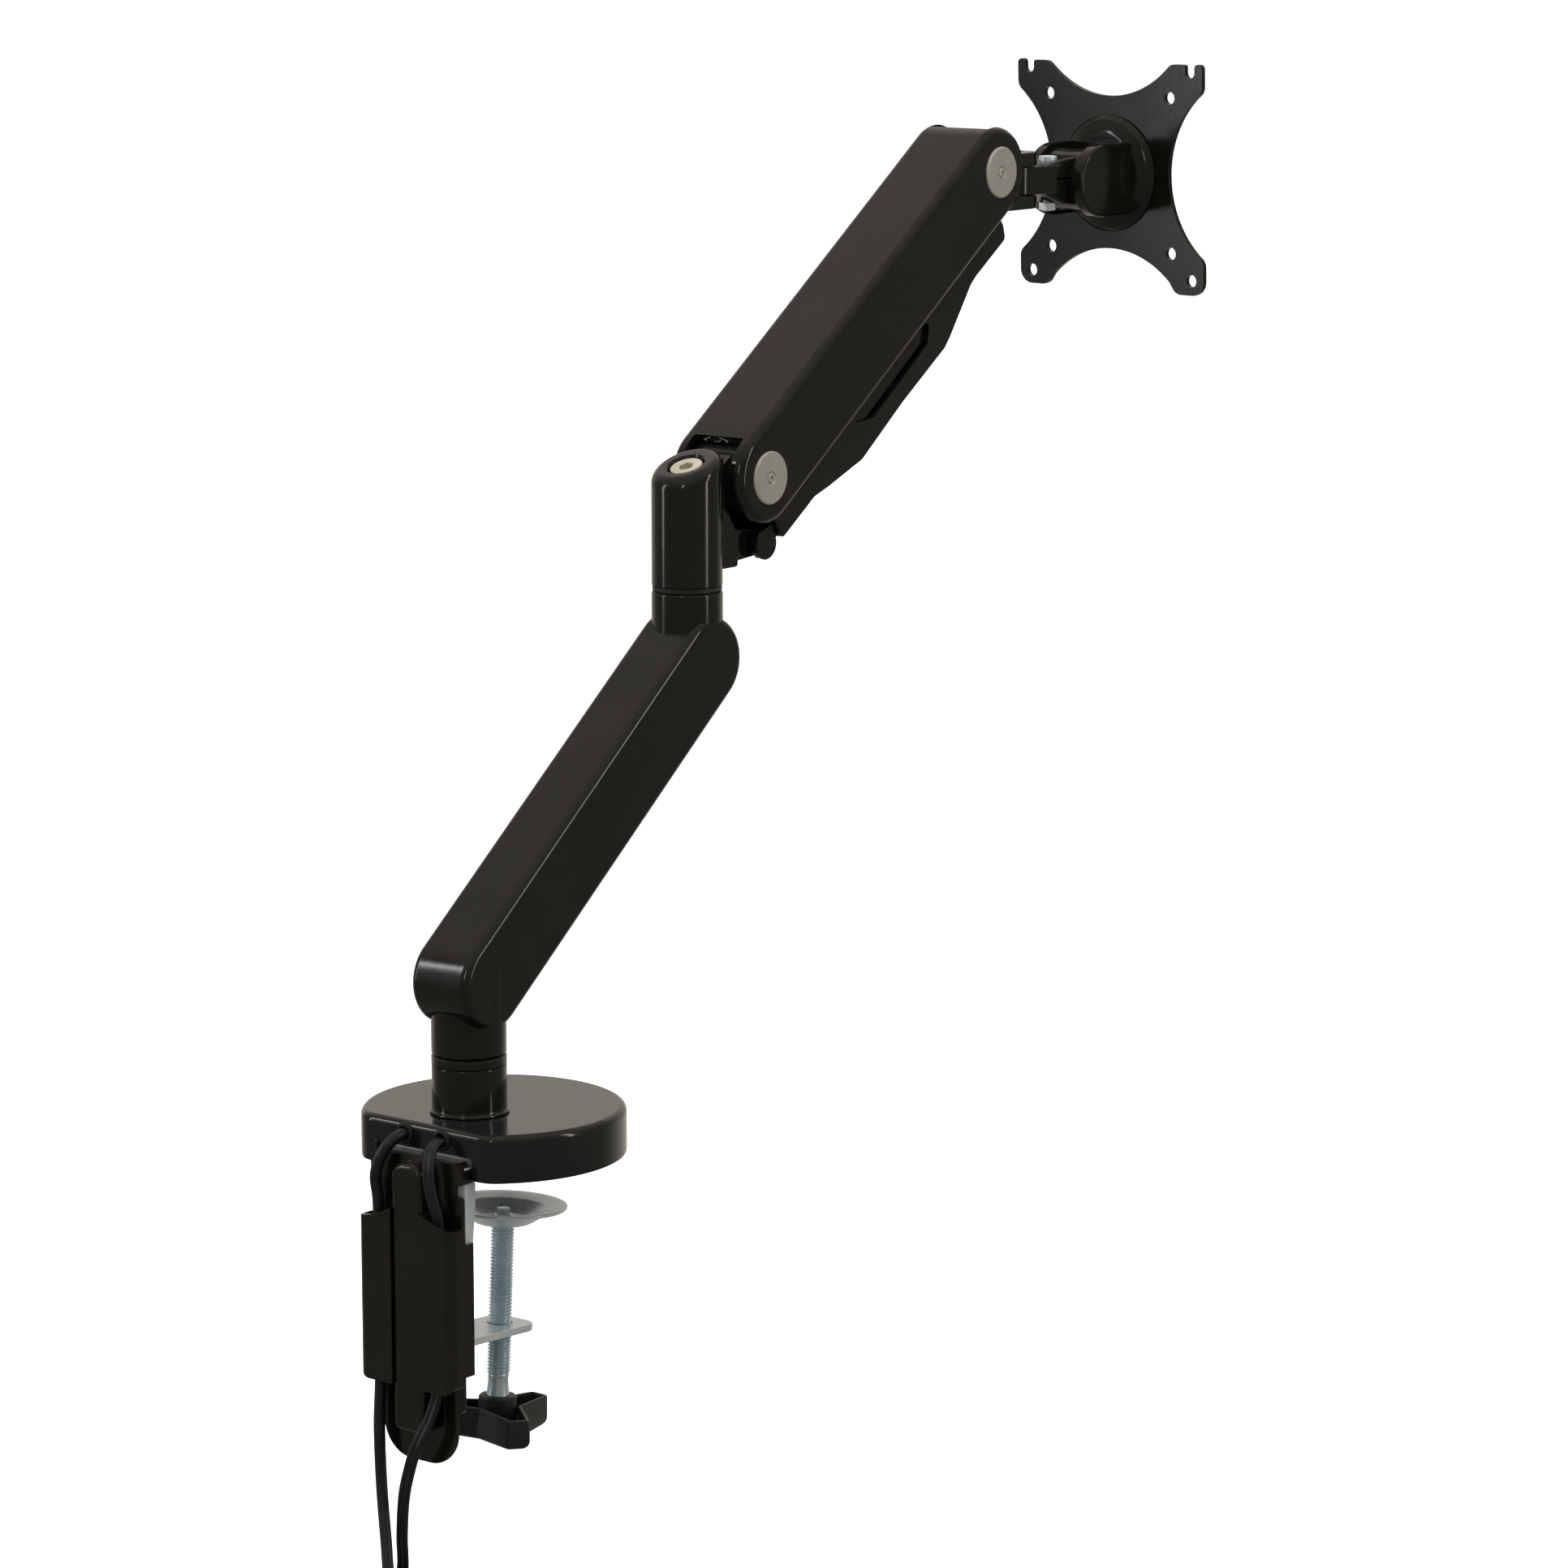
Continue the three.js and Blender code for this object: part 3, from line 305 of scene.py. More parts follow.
class Nodes:
    """A small helper that writes a node tree."""

    def __init__(self, name):
        self.mat = bpy.data.materials.new(name)
        self.mat.use_nodes = True
        self.tree = self.mat.node_tree
        self.bsdf = self.tree.nodes["Principled BSDF"]

    def add(self, kind, **inputs):
        node = self.tree.nodes.new(kind)
        for key, value in inputs.items():
            slot = key.replace("_", " ")
            if slot in node.inputs:
                node.inputs[slot].default_value = value
            else:
                setattr(node, key, value)
        return node

    def link(self, a, out, b, into):
        self.tree.links.new(a.outputs[out], b.inputs[into])

    def coords(self, stretch=(1, 1, 1)):
        where = self.add("ShaderNodeTexCoord")
        scale = self.add("ShaderNodeMapping", Scale=stretch)
        self.link(where, "Object", scale, "Vector")
        return scale

    def noise(self, scale, detail=3.0, stretch=(1, 1, 1), roughness=0.55):
        where = self.coords(stretch)
        node = self.add("ShaderNodeTexNoise", Scale=scale, Detail=detail, Roughness=roughness)
        self.link(where, "Vector", node, "Vector")
        return node

    def ramp(self, source, out, stops):
        node = self.add("ShaderNodeValToRGB")
        self.link(source, out, node, "Fac")
        ramp = node.color_ramp
        while len(ramp.elements) < len(stops):
            ramp.elements.new(0.5)
        for element, (at, colour) in zip(ramp.elements, stops):
            element.position = at
            element.color = (*colour, 1) if len(colour) == 3 else colour
        return node

    def spread(self, source, out, low, high, at=(0.3, 0.7)):
        node = self.add("ShaderNodeMapRange")
        node.inputs["From Min"].default_value = at[0]
        node.inputs["From Max"].default_value = at[1]
        node.inputs["To Min"].default_value = low
        node.inputs["To Max"].default_value = high
        self.link(source, out, node, "Value")
        return node

    def bump(self, source, out, strength, distance, after=None):
        node = self.add("ShaderNodeBump", Strength=strength, Distance=distance)
        self.link(source, out, node, "Height")
        if after is not None:
            self.link(after, "Normal", node, "Normal")
        return node

    def edges(self, radius, threshold=(0.0, 0.35)):
        """How strongly the surface turns within this radius: 0 on flats, 1 on edges."""
        soft_normal = self.add("ShaderNodeBevel", Radius=radius)
        soft_normal.samples = 4
        here = self.add("ShaderNodeNewGeometry")
        dot = self.add("ShaderNodeVectorMath")
        dot.operation = "DOT_PRODUCT"
        self.link(soft_normal, "Normal", dot, 0)
        self.link(here, "Normal", dot, 1)
        flat = self.add("ShaderNodeMapRange")
        flat.inputs["From Min"].default_value = 1 - threshold[0]
        flat.inputs["From Max"].default_value = 1 - threshold[1]
        self.link(dot, "Value", flat, "Value")
        return flat


def gloss_paint(name, dark, light, rough=(0.1, 0.19), specular=0.42, peel=0.05, wear=0.5):
    """Glossy black enamel: faint orange peel, patchy gloss, dust, edges polished lighter."""
    n = Nodes(name)
    patch = n.noise(38, 4)
    tone = n.ramp(patch, "Fac", [(0.35, dark), (0.68, light)])
    worn = n.edges(0.0009)
    grain = n.noise(900, 2)
    dust = n.ramp(grain, "Fac", [(0.70, (0, 0, 0)), (0.78, (1, 1, 1))])
    sparse = n.add("ShaderNodeMath", operation="MULTIPLY")
    sparse.inputs[1].default_value = 0.025
    n.link(dust, "Color", sparse, 0)
    mix = n.add("ShaderNodeMix", data_type="RGBA")
    n.link(sparse, "Value", mix, 0)
    n.link(tone, "Color", mix, 6)
    mix.inputs[7].default_value = (0.16, 0.15, 0.14, 1)
    edge = n.add("ShaderNodeMix", data_type="RGBA")
    share = n.add("ShaderNodeMath", operation="MULTIPLY")
    share.inputs[1].default_value = 0.06 * wear
    n.link(worn, "Result", share, 0)
    n.link(share, "Value", edge, 0)
    n.link(mix, 2, edge, 6)
    edge.inputs[7].default_value = (0.30, 0.27, 0.22, 1)
    n.link(edge, 2, n.bsdf, "Base Color")
    smear = n.noise(16, 5, stretch=(1, 1, 0.6))
    rough_node = n.spread(smear, "Fac", *rough)
    n.link(rough_node, "Result", n.bsdf, "Roughness")
    fine = n.noise(420, 2)
    wave = n.bump(fine, "Fac", peel, 0.0003)
    n.link(wave, "Normal", n.bsdf, "Normal")
    n.bsdf.inputs["Specular IOR Level"].default_value = specular
    return n.mat


def moulded(name, dark, light, rough=(0.42, 0.56), grain=2600, depth=0.35, specular=0.4):
    """Spark-textured moulded plastic."""
    n = Nodes(name)
    patch = n.noise(45, 4)
    tone = n.ramp(patch, "Fac", [(0.3, dark), (0.7, light)])
    worn = n.edges(0.0008)
    mix = n.add("ShaderNodeMix", data_type="RGBA")
    share = n.add("ShaderNodeMath", operation="MULTIPLY")
    share.inputs[1].default_value = 0.14
    n.link(worn, "Result", share, 0)
    n.link(share, "Value", mix, 0)
    n.link(tone, "Color", mix, 6)
    mix.inputs[7].default_value = (0.10, 0.095, 0.09, 1)
    n.link(mix, 2, n.bsdf, "Base Color")
    smear = n.noise(70, 3)
    n.link(n.spread(smear, "Fac", *rough), "Result", n.bsdf, "Roughness")
    spark = n.noise(grain, 3, roughness=0.7)
    n.link(n.bump(spark, "Fac", depth, 0.0001), "Normal", n.bsdf, "Normal")
    n.bsdf.inputs["Specular IOR Level"].default_value = specular
    return n.mat


def metal(name, dark, light, rough, lines=(1, 1, 1), line_scale=500, depth=0.08, wear=0.25, metallic=0.6):
    """Plated or plain metal: cloudy tone, drawn or turned lines, brighter edges."""
    n = Nodes(name)
    cloud = n.noise(60, 5)
    tone = n.ramp(cloud, "Fac", [(0.3, dark), (0.7, light)])
    worn = n.edges(0.0006)
    mix = n.add("ShaderNodeMix", data_type="RGBA")
    share = n.add("ShaderNodeMath", operation="MULTIPLY")
    share.inputs[1].default_value = wear
    n.link(worn, "Result", share, 0)
    n.link(share, "Value", mix, 0)
    n.link(tone, "Color", mix, 6)
    mix.inputs[7].default_value = (0.86, 0.86, 0.85, 1)
    n.link(mix, 2, n.bsdf, "Base Color")
    drawn = n.noise(line_scale, 3, stretch=lines)
    n.link(n.spread(drawn, "Fac", *rough), "Result", n.bsdf, "Roughness")
    n.link(n.bump(drawn, "Fac", depth, 0.00008), "Normal", n.bsdf, "Normal")
    n.bsdf.inputs["Metallic"].default_value = metallic
    return n.mat


def flexible(name, dark, light, rough=(0.34, 0.5), scale=1500, depth=0.15):
    """Soft PVC or rubber skin."""
    n = Nodes(name)
    patch = n.noise(90, 4)
    n.link(n.ramp(patch, "Fac", [(0.3, dark), (0.7, light)]), "Color", n.bsdf, "Base Color")
    smear = n.noise(220, 3)
    n.link(n.spread(smear, "Fac", *rough), "Result", n.bsdf, "Roughness")
    fine = n.noise(scale, 2)
    n.link(n.bump(fine, "Fac", depth, 0.0001), "Normal", n.bsdf, "Normal")
    n.bsdf.inputs["Specular IOR Level"].default_value = 0.4
    return n.mat


ENAMEL = gloss_paint("gloss_enamel", (0.0065, 0.0058, 0.0046), (0.0100, 0.0090, 0.0072))
PLATE_PAINT = gloss_paint("plate_enamel", (0.0070, 0.0060, 0.0046), (0.0100, 0.0088, 0.0068),
                          rough=(0.16, 0.26), specular=0.34)
HUB = gloss_paint("hub_gloss", (0.0080, 0.0078, 0.0075), (0.0120, 0.0116, 0.0110), rough=(0.08, 0.16),
                  peel=0.03)
MATT = moulded("matt_plastic", (0.0100, 0.0100, 0.0100), (0.0150, 0.0148, 0.0145))
COVER = moulded("cover_plastic", (0.0080, 0.0072, 0.0060), (0.0115, 0.0104, 0.0088), rough=(0.16, 0.26),
                depth=0.06)
SPINE = gloss_paint("spine_gloss", (0.0080, 0.0066, 0.0045), (0.0125, 0.0105, 0.0075), rough=(0.12, 0.22),
                    peel=0.04)
RUBBER = flexible("rubber", (0.010, 0.010, 0.010), (0.016, 0.016, 0.016), rough=(0.6, 0.8))
CORD = flexible("cord_pvc", (0.008, 0.008, 0.009), (0.013, 0.013, 0.014))
ZINC = metal("zinc_plate", (0.60, 0.72, 0.78), (0.82, 0.88, 0.88), (0.26, 0.42), depth=0.12, metallic=0.4)
THREAD = metal("zinc_thread", (0.42, 0.58, 0.68), (0.66, 0.78, 0.84), (0.22, 0.36), depth=0.05, metallic=0.55)
NICKEL = metal("satin_nickel", (0.52, 0.50, 0.46), (0.60, 0.58, 0.54), (0.34, 0.46), lines=(1, 1, 9),
               line_scale=700)
STEEL = metal("plain_steel", (0.42, 0.42, 0.43), (0.56, 0.56, 0.57), (0.28, 0.44), lines=(6, 1, 1))
BRASS = metal("bolt_plate", (0.56, 0.52, 0.42), (0.74, 0.70, 0.60), (0.22, 0.36))


def add_piece(obj, name, body, material, replaces=(), sharp=34, weighted=True):
    obj.name = name
    obj.data.name = name
    obj.data.materials.clear()
    obj.data.materials.append(material)
    obj.data.shade_smooth()
    obj.data.set_sharp_from_angle(angle=rad(sharp))
    if weighted:
        mod = obj.modifiers.new("normals", "WEIGHTED_NORMAL")
        mod.keep_sharp = True
        mod.weight = 60
        bake(obj)
        obj.data.name = name
    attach(obj, body)
    if replaces:
        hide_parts(*replaces)
    return obj


# ---- cords -------------------------------------------------------------------------------------

CORD_D = 5.1
TWIN_W = 5.5
COIL_R = 26
PITCH = 5.12
COIL_Z = -216
COILS = {"left": (-12, -51), "right": (-6, -31)}
CABLE_X = 10.5
CABLE_Z = 16.3
ROUTES = {
    "left": [
        (-CABLE_X, -24.8, CABLE_Z),
        (-CABLE_X, -30, CABLE_Z),
        (-11.2, -36.6, 14.6),
        (-14.2, -40.4, 9),
        (-18.2, -40.6, -1),
        (-18.8, -38.6, -12),
        (-18.6, -38.4, -30),
        (-18.6, -38.4, -60),
        (-18.9, -38.5, -92),
        (-19.4, -39.2, -112),
        (-18.6, -39.7, -130),
        (-17, -40.6, -144),
        (-12, -44.2, -162),
        (-5, -49.6, -180),
    ],
    "right": [
        (CABLE_X, -24.8, CABLE_Z),
        (CABLE_X, -30, CABLE_Z),
        (10.9, -37, 14),
        (12, -40.8, 7),
        (13.4, -41, -4),
        (15.2, -38.9, -16),
        (15.6, -38.4, -34),
        (14.6, -38.4, -60),
        (13.6, -38.4, -80),
        (13.5, -38.5, -93),
        (11.4, -41.2, -104),
        (7.4, -45.3, -116),
        (1, -43.6, -130),
        (-6.2, -38.8, -144),
        (-10.4, -35.6, -162),
        (-14, -31.8, -180),
    ],
}
# Places of the seven turns in the coil's section, in turn pitches: outward and along its axis.
SLOTS = [
    (0.5, 0.866),
    (-0.5, 0.866),
    (-1, 0),
    (0, 0),
    (-0.5, -0.866),
    (0.5, -0.866),
    (1, 0),
]


def smooth_path(points, step=1.6):
    """A centripetal Catmull-Rom line through the points, in even short steps."""
    pts = [Vector(p) for p in points]
    ends = [pts[0] * 2 - pts[1], *pts, pts[-1] * 2 - pts[-2]]
    line = []
    for i in range(1, len(ends) - 2):
        a, b, c, d = ends[i - 1 : i + 3]
        t0, t1 = 0, (b - a).length ** 0.5
        t2 = t1 + (c - b).length ** 0.5
        t3 = t2 + (d - c).length ** 0.5
        count = max(2, round((c - b).length / step))
        for k in range(count):
            t = t1 + (t2 - t1) * k / count
            a1 = a * ((t1 - t) / (t1 - t0)) + b * ((t - t0) / (t1 - t0))
            a2 = b * ((t2 - t) / (t2 - t1)) + c * ((t - t1) / (t2 - t1))
            a3 = c * ((t3 - t) / (t3 - t2)) + d * ((t - t2) / (t3 - t2))
            b1 = a1 * ((t2 - t) / (t2 - t0)) + a2 * ((t - t0) / (t2 - t0))
            b2 = a2 * ((t3 - t) / (t3 - t1)) + a3 * ((t - t1) / (t3 - t1))
            line.append(b1 * ((t2 - t) / (t2 - t1)) + b2 * ((t - t1) / (t2 - t1)))
    line.append(pts[-1])
    return line


def coil_path(hand):
    """Six turns and a sixth, from the lead-in at the top to the tail at the side."""
    cx, cy = COILS[hand]
    way = 1 if hand == "left" else -1
    points = []
    total = 360 * 6 + 60
    for step in range(0, total + 1, 6):
        turn = min(step // 360, 6)
        within = step - 360 * turn
        blend = max(0.0, min(1.0, (within - 300) / 60))
        blend = blend * blend * (3 - 2 * blend)
        here, there = SLOTS[turn], SLOTS[min(turn + 1, 6)]
        out = (here[0] + (there[0] - here[0]) * blend) * PITCH
        along = (here[1] + (there[1] - here[1]) * blend) * PITCH
        angle = rad(60 - step)
        r = COIL_R + out
        points.append((cx + way * r * math.cos(angle), cy - way * along, COIL_Z + r * math.sin(angle)))
    return points


def cord_path(hand):
    coil = coil_path(hand)
    x, y, z = coil[-1]
    tail = [(x, y, COIL_Z - 8), (x, y, COIL_Z - 18), (x, COILS[hand][1], COIL_Z - 30),
            (x, COILS[hand][1], COIL_Z - 38)]
    return smooth_path(ROUTES[hand] + coil[2:] + tail)


def circle(r, steps=16):
    return [(r * math.cos(TAU * i / steps), r * math.sin(TAU * i / steps)) for i in range(steps)]


def figure_eight(width, thick, steps=12):
    """Section of a twin flex: two round cores with a waist between them."""
    r = thick / 2
    x = width / 2 - r
    points = arc(x, 0, r, -128, 128, steps) + arc(-x, 0, r, 52, 308, steps)
    return tidy(points)


TAIL_X = {hand: COILS[hand][0] + (1 if hand == "left" else -1) * (COIL_R + PITCH) for hand in COILS}
paths = {hand: cord_path(hand) for hand in COILS}
cord_left = sweep(paths["left"], circle(CORD_D / 2))
cord_right = sweep(paths["right"], figure_eight(TWIN_W, 2.9), Vector((1, 0.2, 0)))


def usb_plug():
    x, y, z = TAIL_X["left"], COILS["left"][1], COIL_Z - 38.3
    outline = fillet([(x - 7.8, y - 4), (x + 7.8, y - 4), (x + 7.8, y + 4), (x - 7.8, y + 4)], 2.2)
    grip = bevel(prism("z", outline, z - 26, z - 6), 1.1, 4)
    ribs = [block((x - 9, y - 5, z - 12 - 2.4 * i), (x - 7.3, y + 5, z - 11 - 2.4 * i)) for i in range(4)]
    ribs += [block((x + 7.3, y - 5, z - 12 - 2.4 * i), (x + 9, y + 5, z - 11 - 2.4 * i)) for i in range(4)]
    profile = [(0, -8), (4.4, -8), (3.9, -5), (3.9, -4), (3.5, -3.6), (3.5, -2.6), (3.2, -2.2), (3.2, 0),
               (0, 0)]
    neck = lathe("z", profile, (x, y, z), steps=40)
    return join(cut(grip, *ribs), neck)


def usb_shell():
    x, y, z = TAIL_X["left"], COILS["left"][1], COIL_Z - 38.3
    shell = bevel(block((x - 6, y - 2.25, z - 38), (x + 6, y + 2.25, z - 25.5)), 0.5, 2)
    hollow = block((x - 5.6, y - 1.85, z - 39), (x + 5.6, y + 1.85, z - 28))
    holes = [block((x + s - 1.1, y - 3, z - 33.5), (x + s + 1.1, y + 3, z - 31.2)) for s in (-2.8, 2.8)]
    return join(cut(shell, hollow, *holes), block((x - 5.5, y + 0.1, z - 37), (x + 5.5, y + 1.9, z - 27)))


def audio_plug():
    at = (TAIL_X["right"], COILS["right"][1], COIL_Z - 38.3)
    profile = [(0, 0), (3.0, 0), (3.2, -2.4), (3.6, -2.8), (3.7, -5.2), (4.2, -5.8), (4.6, -8), (4.6, -20.6),
               (4.2, -21.4), (3.4, -21.8), (0, -21.8)]
    return lathe("z", profile, at, steps=48)


def audio_pin():
    at = (TAIL_X["right"], COILS["right"][1], COIL_Z - 38.3)
    profile = [(0, -21), (2.5, -21), (2.5, -22.4), (1.75, -22.6), (1.75, -27), (1.6, -27.1), (1.6, -27.7),
               (1.75, -27.8), (1.75, -31.4), (1.6, -31.5), (1.6, -32.1), (1.75, -32.2), (1.75, -34),
               (1.1, -34.8), (1.65, -35.8), (1.0, -36.8), (0, -37)]
    return lathe("z", profile, at, steps=40)


def tie(hand):
    """Hook-and-loop strap round the coil, with its free end lapped over."""
    cx, cy = COILS[hand]
    rings = []
    for i in range(57):
        a = rad(-20 + 400 * i / 56)
        out = 8.72 + 0.34 * (i / 56)
        rings.append([(cx + x, cy + (out + t) * math.cos(a), COIL_Z + COIL_R + (out + t) * math.sin(a))
                      for x, t in ((-4, 0), (4, 0), (4, 0.6), (-4, 0.6))])
    return loft(rings)


plug = add_piece(usb_plug(), "usb_plug", "root", MATT, ["plug_usb"])
shell = add_piece(usb_shell(), "usb_plug_shell", "root", STEEL)
jack = add_piece(audio_plug(), "audio_plug", "root", MATT, ["plug_audio"])
pin = add_piece(audio_pin(), "audio_plug_pin", "root", BRASS)
ties = {hand: add_piece(tie(hand), "strap_" + hand, "root", RUBBER,
                        ["tie_" + hand]) for hand in COILS}
add_piece(cord_left, "cord_left", "root", CORD, ["cable_left", "coil_left", "tail_left"],
          weighted=False)
add_piece(cord_right, "cord_right", "root", CORD, ["cable_right", "coil_right", "tail_right"],
          50, False)

# ---- base --------------------------------------------------------------------------------------

BASE_R = 57.5
BASE_CY = 16


def base_plan(inset, corner=4.5, steps=120):
    """The flat-backed round plan of the base, drawn smaller by inset."""
    r = BASE_R - inset
    back = -30 + inset - BASE_CY
    reach = math.sqrt(r * r - back * back)
    first = math.degrees(math.atan2(back, reach)) + math.degrees((corner - inset * 0.3) / r)
    points = arc(0, BASE_CY, r, first, 180 - first, steps)
    a = Vector((-reach, back + BASE_CY))
    start, end = Vector(points[-1]), Vector((-reach + corner, back + BASE_CY))
    for k in range(1, 9):
        t = k / 8
        points.append(tuple(start * (1 - t) ** 2 + a * 2 * t * (1 - t) + end * t * t))
    for k in range(1, 12):
        points.append((end.x + (-2 * end.x) * k / 12, end.y))
    start, end = Vector((-end.x, end.y)), Vector(points[0])
    b = Vector((reach, back + BASE_CY))
    for k in range(0, 8):
        t = k / 8
        points.append(tuple(start * (1 - t) ** 2 + b * 2 * t * (1 - t) + end * t * t))
    return points


def base_housing():
    levels = [(0.6, 0.8), (0.9, 0.25), (1.6, 0), (10.0, 0)]
    levels += [(18.2 + 3.2 * math.sin(rad(a)), 3.2 * (1 - math.cos(rad(a)))) for a in range(0, 91, 10)]
    rings = [[(x, y, z) for x, y in base_plan(inset)] for z, inset in levels]
    body = loft(rings)
    inner = loft([[(x, y, z) for x, y in base_plan(2.6)] for z in (-2, 18.8)])
    gate = bevel(block((-27, -40, -6), (27, -20, 10.4)), 1.5, 3)
    cuts = [inner, gate, rod("z", 10.4, 10, 30)]
    cuts.append(block((-48, -32, 10.2), (-27, -29.55, 10.55)))
    seam = placed(0, BASE_CY, 0, -36, "Z")
    cuts.append(block((BASE_R - 0.35, -0.16, 0), (BASE_R + 2, 0.16, 17.6), seam))
    for side in (-1, 1):
        flare = [(0, -29), (3.95, -29), (3.95, -29.4), (4.4, -29.85), (5.0, -30.2), (5.0, -33), (0, -33)]
        cuts.append(lathe("y", flare, (side * CABLE_X, 0, CABLE_Z), steps=64))
        cuts.append(rod("y", 3.95, -30, -20, (side * CABLE_X, 0, CABLE_Z)))
        cuts.append(bevel(block((side * 24 - 6.9, 60, 8.2), (side * 24 + 6.9, 80, 14.6)), 0.6, 3))
        cuts.append(rod("y", 3.4, 60, 80, (side * 8, 0, 11.4)))
    return cut(body, *cuts)


add_piece(base_housing(), "base_housing", "root", HUB, ["base_shell"])
foot = soft([(10.3, 21.7), (17.3, 21.7), (17.1, 22.6), (16.45, 23.0), (16.25, 24), (16.25, 42.7),
             (10.3, 42.7), (10.3, 21.7)], [0, 0.3, 0.8, 1.5, 2, 0.7, 0.3, 0])
add_piece(lathe("z", foot, steps=128), "post", "root", ENAMEL, ["base_post"])
washer = soft([(10.3, 42.8), (16.0, 42.8), (16.3, 43.1), (16.3, 46.5), (15.7, 47.0), (10.3, 47.0),
               (10.3, 42.8)], 0.25)
add_piece(lathe("z", washer, steps=128), "post_ring", "root", ENAMEL, ["swivel_washer"])


def grommet(side):
    profile = soft([(2.95, -24.5), (3.85, -24.5), (3.85, -29.6), (4.6, -30.2), (4.6, -30.7), (3.2, -31.3),
                    (2.95, -30.9), (2.95, -24.5)], [0.1, 0.1, 0.2, 0.2, 0.4, 0.3, 0.1, 0.1])
    return lathe("y", profile, (side * CABLE_X, 0, CABLE_Z), steps=48)


def usb_outlet(side):
    x = side * 24
    can = bevel(block((x - 6.6, 52, 8.5), (x + 6.6, 65.6, 14.3)), 0.5, 2)
    mouth = block((x - 5.9, 53, 9.1), (x + 5.9, 70, 13.7))
    return cut(can, mouth)


def usb_tongue(side):
    x = side * 24
    return bevel(block((x - 5.2, 52.8, 11.7), (x + 5.2, 64.2, 13.4)), 0.25, 2)


def audio_jack(side):
    profile = soft([(1.8, 60), (3.1, 60), (3.1, 71.8), (2.7, 72.2), (2.1, 72.2), (1.8, 71.9), (1.8, 60)],
                   0.1, 3)
    return lathe("y", profile, (side * 8, 0, 11.4), steps=48)


for side, hand in ((-1, "left"), (1, "right")):
    add_piece(grommet(side), "grommet_" + hand, "root", RUBBER, ["cable_grommet_" + hand])
    add_piece(usb_outlet(side), "usb_outlet_" + hand, "root", STEEL, ["usb_port_" + hand])
    add_piece(usb_tongue(side), "usb_outlet_tongue_" + hand, "root", MATT)
    add_piece(audio_jack(side), "jack_" + hand, "root", BRASS, ["audio_jack_" + hand])

# ---- desk clamp --------------------------------------------------------------------------------


def bracket():
    back = prism("y", fillet([(-25, -86), (25, -86), (25, 6.2), (-25, 6.2)], [5, 5, 0.6, 0.6]), -32, -28.3)
    flange = block((-22, -30.2, 2.5), (22, 20, 6.2))
    tongue = prism("z", fillet([(-12, -49.6), (12, -49.6), (12, 12), (-12, 12)], [0, 0, 6.5, 6.5], 12),
                   -3.3, 0, LEAN)
    bend = prism("x", [(-49, -1), (-47.2, -7.5), (-46.2, -4.7), (-44.6, -3.3), (-44, -1)], -12, 12, LEAN)
    wing = [(-30, -0.4), (-25.2, -0.4), (-25.6, -12), (-27.4, -30), (-28.2, -60), (-30, -60)]
    wing = fillet(wing, [0, 1.2, 10, 20, 0.3, 0], 8)
    wings = [bevel(prism("x", wing, *ends), 0.4, 2, 40) for ends in ((22.2, 25), (-25, -22.2))]
    body = join(bevel(back, 0.5, 3), bevel(flange, 0.4, 2), bevel(tongue, 0.5, 3), bend, *wings)
    holes = [rod("z", 3.2, 0, 20, (s * 14, 8, 0)) for s in (-1, 1)]
    return cut(body, rod("z", 5.6, -10, 10, group=LEAN), *holes)


def threaded_screw():
    """Rolled thread with a plain tail above the knob and a turned-down nose in the disc."""
    pitch, depth, steps = 1.5, 0.9, 48
    low, high = -23.6, 43.2
    rows = int((high - low) / pitch * 12)

    def ring(r, z):
        return [(r * math.cos(TAU * i / steps), r * math.sin(TAU * i / steps), z) for i in range(steps)]

    rings = [ring(5.2, -32.2), ring(5.0, -31), ring(4.65, -28), ring(4.5, -25.5)]
    for k in range(rows + 1):
        z = low + (high - low) * k / rows
        fade = min(1, (z - low) / 1.6, (high - z) / 1.6)
        row = []
        for i in range(steps):
            tooth = abs(2 * ((z / pitch - i / steps) % 1) - 1)
            tooth = min(1, max(0, (tooth - 0.1) / 0.75))
            r = 5.2 - depth * (tooth * fade + 0.7 * (1 - fade))
            row.append((r * math.cos(TAU * i / steps), r * math.sin(TAU * i / steps), z))
        rings.append(row)
    rings += [ring(3.3, high + 0.7), ring(3.2, high + 3.2)]
    return loft(rings, LEAN)


def lobes(reach, half, waist, corner=2.2, notch=2.4, z=0.0):
    """Three blunt arms with a V between each two."""
    corners = []
    for turn in (90, 210, 330):
        c, s = math.cos(rad(turn)), math.sin(rad(turn))
        corners.append((reach * c + half * s, reach * s - half * c))
        corners.append((reach * c - half * s, reach * s + half * c))
        corners.append((waist * math.cos(rad(turn + 60)), waist * math.sin(rad(turn + 60))))
    spread = []
    points = fillet(corners, [corner, corner, notch] * 3, 10)
    for a, b in zip(points, points[1:] + points[:1]):
        if math.dist(a, b) > 3:
            spread += [tuple(Vector(a).lerp(Vector(b), k / 6)) for k in range(6)]
        else:
            spread.append(a)
    return [(x, y, z) for x, y in spread]


